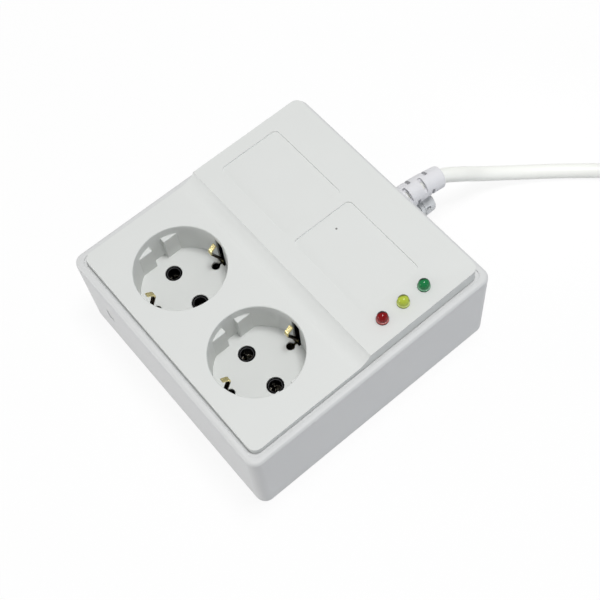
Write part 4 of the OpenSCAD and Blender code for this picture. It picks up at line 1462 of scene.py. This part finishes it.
@dataclass
class Lights(Housing):
    """Three domed indicator lights with flange and leads."""

    radius: float = 2.45
    height: float = 4.6
    dome_round: float = 2.4
    flange: float = 2.7
    flange_height: float = 1.0
    flange_round: float = 0.22
    board: float = 24.0
    lead_reach: float = 1.27
    lead: float = 0.25
    lead_tip: float = 1.2
    lead_root: float = 0.4
    # Each light has its name, its colour, the colour of its painted shade and the colour of its painted
    # highlight.
    colours: tuple[tuple[str, Colour, Colour, Colour], ...] = (
        ("red", (130, 2, 8), (46, 4, 6), (240, 150, 146)),
        ("yellow", (180, 196, 66), (104, 112, 44), (240, 250, 170)),
        ("green", (26, 122, 68), (14, 48, 30), (170, 226, 192)),
    )

    def first(self) -> Workpiece:
        """Build the light nearest to the sockets."""
        x, y = self.first_light
        dome = Workpiece.rod("light_red_dome", (x, y, self.high), self.radius, self.height)
        dome.bevel(lambda seam: seam.at_height(self.high + self.height), self.dome_round, 12)
        flange = Workpiece.rod("flange", (x, y, self.high), self.flange, self.flange_height)
        flange.bevel(lambda seam: seam.at_height(self.high + self.flange_height), self.flange_round, 3)
        dome.fuse(flange)
        heights = (self.board - self.lead_tip, self.high + self.lead_root)
        for middle in (x - self.lead_reach, x + self.lead_reach):
            dome.fuse(Workpiece.block("lead", (middle, y), (self.lead, self.lead), heights))
        return dome

    def build(self) -> None:
        """Build the three lights, the second and third as copies."""
        lights = [self.first()]
        for number, (name, *_) in enumerate(self.colours[1:], 1):
            step = Matrix.Translation((self.light_pitch * number, 0, 0))
            lights.append(lights[0].copy(f"light_{name}_dome", step))
        for light, centre, (name, colour, rim, glow) in zip(lights, self.light_places(), self.colours):
            # Each dome gets painted shade and a painted highlight from its finish.
            finish = LightFinish(f"dome_{name}", colour, 0.15, cloud=0.05, cloud_size=1.5, grain=0.0,
                                 shine=0.3, centre=centre, rim=rim, glow=glow)
            light.dress(finish, f"lens_{name}", (f"light_{name}",))


@dataclass
class EarthClips(Housing):
    """Brass earth strips with a spring clip at each side of each socket.

    The route of a clip is given by distances from the middle of the socket and heights.
    """

    thickness: float = 0.75
    leaf: float = 2.1
    route: tuple[Span, ...] = ((19.6, 32.1), (14.95, 42.35), (15.25, 43.85), (18.05, 46.2))
    bend: float = 0.7
    edge_round: float = 0.16
    rail: float = 3.0
    link_y: Span = (-2.1, 3.9)

    def clip(self) -> Workpiece:
        """Bend one clip at the positive side of the first socket."""
        x, y = self.sockets()[0]
        start = self.clip_foot + self.leaf
        middle = metres(x + self.clip_reach, y, start - self.leaf / 2)
        deselect()
        bpy.ops.mesh.primitive_plane_add(size=self.leaf * MM, location=middle, rotation=(0, math.pi / 2, 0))
        clip = Workpiece("clip")
        last = (self.clip_reach, start)
        for point in self.route:
            top = Vector((x + last[0], y, last[1]))
            clip.pick_seams(lambda seam: (seam.middle - top).length < NEAR)
            step = metres(point[0] - last[0], 0, point[1] - last[1])
            bpy.ops.mesh.extrude_region_move(TRANSFORM_OT_translate={"value": step})
            last = point
        clip.bevel(lambda seam: len(seam.normals) > 1 and seam.turn > 5, self.bend, 5)
        clip.modify("SOLIDIFY", thickness=self.thickness * MM, offset=0.0)
        return clip.modify("BEVEL", width=self.edge_round * MM, segments=2, limit_method="ANGLE",
                           angle_limit=math.radians(50))

    def build(self) -> bpy.types.Object:
        """Copy the clip to all four places and add the strips between them."""
        clip = self.clip()
        x, y = self.sockets()[0]
        there, back = Matrix.Translation((x, y, 0)), Matrix.Translation((-x, -y, 0))
        around = there @ Matrix.Rotation(math.pi, 4, "Z") @ back
        along = Matrix.Translation((0, self.socket_ys[1] - self.socket_ys[0], 0))
        others = [clip.copy("clip", matrix) for matrix in (around, along, along @ around)]
        left, right, rail = x - self.clip_reach, x + self.clip_reach, self.rail
        front, rear = self.socket_ys[1] - rail, self.socket_ys[0] + rail
        foot, top = self.clip_foot, self.clip_foot + self.thickness
        rails = [Workpiece.box("rail", (middle - rail, front, foot), (middle + rail, rear, top))
                 for middle in (left, right)]
        front, rear = self.link_y
        link = Workpiece.box("earth_strip", (left, front, foot), (right, rear, top))
        link.fuse(rails[0].joined(rails[1]), clip.joined(*others))
        return link.dress(Finishes.CLIP, "brass", ("earth_contacts",))


@dataclass
class PinContacts(Housing):
    """Brass sleeves that grip the plug pins, in their black carriers."""

    top: float = 23.5
    bore: float = 2.44
    outside: float = 3.3
    sleeve_round: float = 0.35
    mouth_round: float = 0.25
    sheet: float = 0.8
    strip_start: float = 3.0
    strip_end: float = 47.0
    tab_half: float = 2.4
    bore_depth: float = 20.0
    slit: Span = (0.5, 4.0)
    slit_foot: float = 1.3
    slit_top: float = 30.0
    carrier_half: Span = (11.0, 15.0)
    carrier_foot: float = 12.0
    carrier_top: float = 27.5
    carrier_corner: float = 2.0
    carrier_round: float = 0.3
    lip: float = 29.6
    lip_round: float = 0.1
    collar: float = 3.6
    collar_foot: float = 20.0
    collar_bore: float = 2.75
    collar_depth: float = 10.0
    collar_play: float = 0.3
    collar_round: float = 0.3
    leg_y: float = 14.0
    leg: Span = (2.0, 1.0)
    leg_heights: Span = (2.6, 12.5)

    def strip(self, side: int, name: str) -> bpy.types.Object:
        """Build the strip with two sleeves at one side of the sockets.

        Args:
            side: 1 for the line strip and -1 for the neutral strip.
            name: Name of the node that it stands for.

        Returns:
            The finished strip.
        """
        x, foot, top = self.socket_x, self.strip_foot, self.strip_foot + self.sheet
        front = self.socket_ys[1] + side * self.pin_offset - self.strip_start
        middle, half = x - side * self.strip_reach, self.strip_half
        strip = Workpiece.box(f"{name}_strip", (middle - half, front, foot),
                              (middle + half, self.strip_end, top))
        near, far = sorted((middle - side * half, x))
        bores = []
        for _, y in self.sockets():
            y += side * self.pin_offset
            sleeve = Workpiece.rod("sleeve", (x, y, foot), self.outside, self.top - foot)
            sleeve.bevel(lambda seam: seam.at_height(self.top), self.sleeve_round, 3)
            tab = Workpiece.box("tab", (near, y - self.tab_half, foot), (far, y + self.tab_half, top))
            strip.fuse(sleeve, tab)
            bores.append(Workpiece.rod("bore", (x, y, foot - self.spare), self.bore, self.bore_depth))
            bores.append(Workpiece.block("slit", (x, y), self.slit, (foot + self.slit_foot, self.slit_top)))
        strip.cut(*bores)
        strip.bevel(lambda seam: seam.at_height(self.top) and seam.is_sharp, self.mouth_round, 3)
        return strip.dress(Finishes.CONTACT, "brass", (name,))

    def carrier(self, y: float, name: str) -> bpy.types.Object:
        """Build one black carrier with a raised collar in each pin hole."""
        x, (dx, dy), foot = self.socket_x, self.carrier_half, self.carrier_foot - self.spare
        block = Workpiece.rounded_box(
            f"{name}_block", (x - dx, y - dy, self.carrier_foot), (x + dx, y + dy, self.carrier_top),
            self.carrier_corner, self.carrier_round)
        for side in (-1, 1):
            middle, low = y + side * self.pin_offset, self.collar_foot
            collar = Workpiece.rod("collar", (x, middle, low), self.collar, self.lip - low)
            collar.bevel(lambda seam: seam.at_height(self.lip), self.lip_round, 2)
            leg = Workpiece.block("leg", (x, y + side * self.leg_y), self.leg, self.leg_heights)
            block.fuse(collar, leg)
            depth = self.top + self.collar_play - foot
            mouth = (x, middle, self.top - self.spare)
            block.cut(
                Workpiece.rod("bore", (x, middle, foot), self.collar, depth),
                Workpiece.rod("mouth", mouth, self.collar_bore, self.collar_depth),
            )
            block.bevel(lambda seam: seam.at_height(self.lip) and seam.from_axis(x, middle)
                        < self.collar_bore + self.touch, self.collar_round, 3)
        return block.dress(Finishes.CARRIER, "black_plastic", (name,))

    def build(self) -> None:
        """Build both strips and both carriers."""
        self.strip(1, "line_contacts")
        self.strip(-1, "neutral_contacts")
        self.carrier(self.socket_ys[0], "carrier_rear")
        self.carrier(self.socket_ys[1], "carrier_front")


@dataclass
class CordSleeve(Housing):
    """Bent strain relief of the cord with staggered slots.

    A slot has its angle along the bend, its turn about the cord and half of its length. The shank and the
    flange have a start, counted outwards from the wall, a radius and a length.
    """

    root: float = 6.1
    end: float = 5.25
    end_round: float = 0.9
    circles: int = 24
    shank: Triple = (-3.1, 4.9, 3.4)
    flange: Triple = (-4.6, 6.0, 2.0)
    bore: float = 3.8
    bore_start: float = -12.0
    bore_circles: int = 12
    slot_half: float = 0.9
    slot_depth: Span = (3.4, 9.0)
    slots: tuple[Triple, ...] = (
        (0.83, 115.0, 3.6), (2.79, 30.0, 4.1), (5.17, 115.0, 3.6), (7.24, 30.0, 4.1))

    def outside(self, bend: SleeveBend) -> Workpiece:
        """Loft the tapered outside along the bend."""
        y, z = self.cord_entry
        circles = [((self.length / 2, y, z), self.outwards, self.root)]
        for k in range(self.circles + 1):
            angle = bend.angle * k / self.circles
            radius = self.root + (self.end - self.root) * k / self.circles
            circles.append((bend.point(angle), bend.direction(angle), radius))
        tip = bend.point(bend.angle)
        sleeve = Workpiece.loft("cord_sleeve_relief", circles, 64)
        reach = self.end + 0.5
        return sleeve.bevel(lambda seam: seam.is_sharp and (seam.middle - tip).length < reach,
                            self.end_round, 4)

    def channel(self, bend: SleeveBend) -> Workpiece:
        """Loft the cutter of the channel for the cord, a little past the end of the bend."""
        (y, z), x = self.cord_entry, self.length / 2
        circles = [((x + step, y, z), self.outwards, self.bore) for step in (self.bore_start, 0)]
        for k in range(self.bore_circles + 2):
            angle = bend.angle * k / self.bore_circles
            circles.append((bend.point(angle), bend.direction(angle), self.bore))
        return Workpiece.loft("channel", circles, 48)

    def slot(self, bend: SleeveBend, angle: float, turn: float, reach: float) -> Workpiece:
        """Build the cutter of one slot.

        Args:
            bend: Course of the sleeve.
            angle: Angle of the bend at which the slot lies, in degrees.
            turn: Turn about the cord in degrees.
            reach: Half of the length of the slot.

        Returns:
            The cutter.
        """
        low, high = self.slot_depth
        slot = Workpiece.box("slot", (-self.slot_half, low, -reach), (self.slot_half, high, reach))
        bent = Vector(self.outwards).rotation_difference(bend.direction(angle))
        turned = bent @ Quaternion(self.outwards, math.radians(turn))
        cutter = slot.copy("slot", Matrix.Translation(bend.point(angle)) @ turned.to_matrix().to_4x4())
        bpy.data.objects.remove(slot.body, do_unlink=True)
        return cutter

    def build(self, bend: SleeveBend) -> bpy.types.Object:
        """Build the sleeve along the bend and cut its slots."""
        sleeve = self.outside(bend)
        sleeve.fuse(self.outward("shank", self.cord_entry, self.shank),
                    self.outward("flange", self.cord_entry, self.flange))
        sleeve.cut(self.channel(bend))
        for angle, turn, reach in self.slots:
            for half_turn in (0, 180):
                sleeve.cut(self.slot(bend, angle, turn + half_turn, reach))
        return sleeve.dress(Finishes.SLEEVE, "sleeve_plastic", ("cord_sleeve",))


@dataclass
class FuseEntry(Housing):
    """Fuse holder beside the cord with its fluted quarter-turn cap.

    A rod has a start, counted outwards from the wall, a radius and a length. A bar has a start and an end,
    and half of its size along Y and along Z.
    """

    barrel: Triple = (-25.5, 5.0, 26.0)
    collar: Triple = (0.0, 6.3, 2.0)
    spout: Triple = (1.5, 5.5, 9.4)
    mouth: Triple = (-3.5, 4.3, 20.0)
    fuse_bore: Triple = (-22.5, 2.9, 30.0)
    lead_bore: Triple = (-30.0, 1.2, 20.0)
    lock: Triple = (6.0, 5.0, 2.0)
    lock_way: tuple[Span, Span] = ((6.0, 14.0), (1.0, 5.0))
    end_round: float = 0.4
    knob: Triple = (13.0, 5.5, 6.3)
    knob_round: float = 1.4
    neck: Triple = (11.2, 5.1, 2.0)
    stem: Triple = (-0.6, 4.0, 12.0)
    bayonet: tuple[Span, Span] = ((6.3, 7.7), (0.7, 4.6))
    pocket: Triple = (-1.0, 2.9, 5.0)
    coin_slot: tuple[Span, Span] = ((18.6, 20.0), (3.4, 0.5))
    flutes: int = 4
    flute: Triple = (13.5, 0.9, 2.4)
    flute_reach: float = 4.95
    flute_turn: float = 63.0

    def bar(self, name: str, size: tuple[Span, Span]) -> Workpiece:
        """Build a bar across the axis of the holder."""
        ((start, end), (dy, dz)), (y, z), x = size, self.fuse_entry, self.length / 2
        return Workpiece.box(name, (x + start, y - dy, z - dz), (x + end, y + dy, z + dz))

    def rod(self, name: str, size: Triple, sides: int = 64) -> Workpiece:
        """Build a rod on the axis of the holder."""
        return self.outward(name, self.fuse_entry, size, sides)

    def round_edge(self, piece: Workpiece, place: float, width: float, segments: int = 3) -> None:
        """Round the edge of a piece at a distance from the wall."""
        x = self.length / 2 + place
        piece.bevel(lambda seam: abs(seam.middle.x - x) < NEAR, width, segments)

    def holder(self) -> bpy.types.Object:
        """Build the holder with its collar outside the wall."""
        holder = self.rod("fuse_holder_barrel", self.barrel)
        for name, size in (("collar", self.collar), ("spout", self.spout)):
            piece = self.rod(name, size)
            self.round_edge(piece, size[0] + size[2], self.end_round)
            holder.fuse(piece)
        holder.cut(
            self.rod("mouth", self.mouth),
            self.rod("bore", self.fuse_bore),
            self.rod("back", self.lead_bore, 32),
            self.rod("lock", self.lock),
            self.bar("way", self.lock_way),
        )
        return holder.dress(Finishes.CAP, "black_plastic", ("fuse_holder",))

    def flute_cuts(self) -> list[Workpiece]:
        """Build the cutters of the short flutes on the cap."""
        y, z = self.fuse_entry
        cuts = []
        for number in range(self.flutes):
            turn = math.radians(self.flute_turn) + math.tau * number / self.flutes
            side = (y + self.flute_reach * math.cos(turn), z + self.flute_reach * math.sin(turn))
            cuts.append(self.outward("flute", side, self.flute, 24))
        return cuts

    def cap(self) -> bpy.types.Object:
        """Build the cap, which turns on the body of the cap."""
        cap = self.rod("fuse_cap_knob", self.knob)
        start, _, length = self.knob
        self.round_edge(cap, start + length, self.knob_round, 5)
        self.round_edge(cap, start, self.end_round)
        neck, stem = self.rod("neck", self.neck), self.rod("stem", self.stem)
        cap.fuse(neck, stem, self.bar("bayonet", self.bayonet))
        cap.cut(self.rod("pocket", self.pocket), *self.flute_cuts(), self.bar("coin_slot", self.coin_slot))
        return cap.dress(Finishes.CAP, "cap_plastic", ("fuse_cap",), rides=Body.CAP)

    def build(self) -> None:
        """Build the holder and the cap."""
        self.holder()
        self.cap()


class Interior:
    """Nodes of the solid model that keep their shape and get their finish."""

    FINISHES: dict[str, Finish] = {
        "cover_screws": Finishes.STEEL, "board_screws": Finishes.STEEL, "clamp_screws": Finishes.STEEL,
        "fuse_ends": Finishes.NICKEL, "plug_pins": Finishes.NICKEL, "plug_earth": Finishes.BRASS,
        "fuse_terminal_rear": Finishes.BRASS, "fuse_terminal_side": Finishes.BRASS,
        "light_spacers": Finishes.SPACER, "circuit_board": Finishes.BOARD, "relay": Finishes.RELAY,
        "transformer_core": Finishes.IRON, "transformer_bobbin": Finishes.TAPE,
        "smoothing_capacitor": Finishes.CAN, "film_capacitor": Finishes.FILM, "varistor": Finishes.VARISTOR,
        "controller_chip": Finishes.BLACK, "terminal_block": Finishes.TERMINAL, "fuse_nut": Finishes.BLACK,
        "cord_clamp": Finishes.CLAMP, "cord_inner": Finishes.SHEATH, "fuse_tube": Finishes.GLASS,
        "wire_line_in": Finishes.BROWN, "wire_line_fused": Finishes.BROWN, "wire_line_out": Finishes.BROWN,
        "wire_neutral_in": Finishes.BLUE, "wire_neutral_out": Finishes.BLUE, "wire_earth": Finishes.EARTH,
    }

    def build(self) -> None:
        """Give each node its finish."""
        for name, finish in self.FINISHES.items():
            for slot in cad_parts[name].material_slots:
                slot.material = finish.material()
            LOG.info("node %s has the finish %s", name, finish.name)


def main() -> None:
    """Build the studio, the cord and every sub-assembly in order."""
    logging.basicConfig(level=logging.INFO, format="%(message)s")
    Studio().build()
    bend = SleeveBend()
    cord = PowerCord().build(bend)
    plug = Plug().build()
    tuple(metres(*bend.point(bend.angle)))
    Tray().build()
    Cover().build()
    Lights().build()
    EarthClips().build()
    PinContacts().build()
    CordSleeve().build(bend)
    FuseEntry().build()
    Interior().build()


if __name__ == "__main__":
    main()
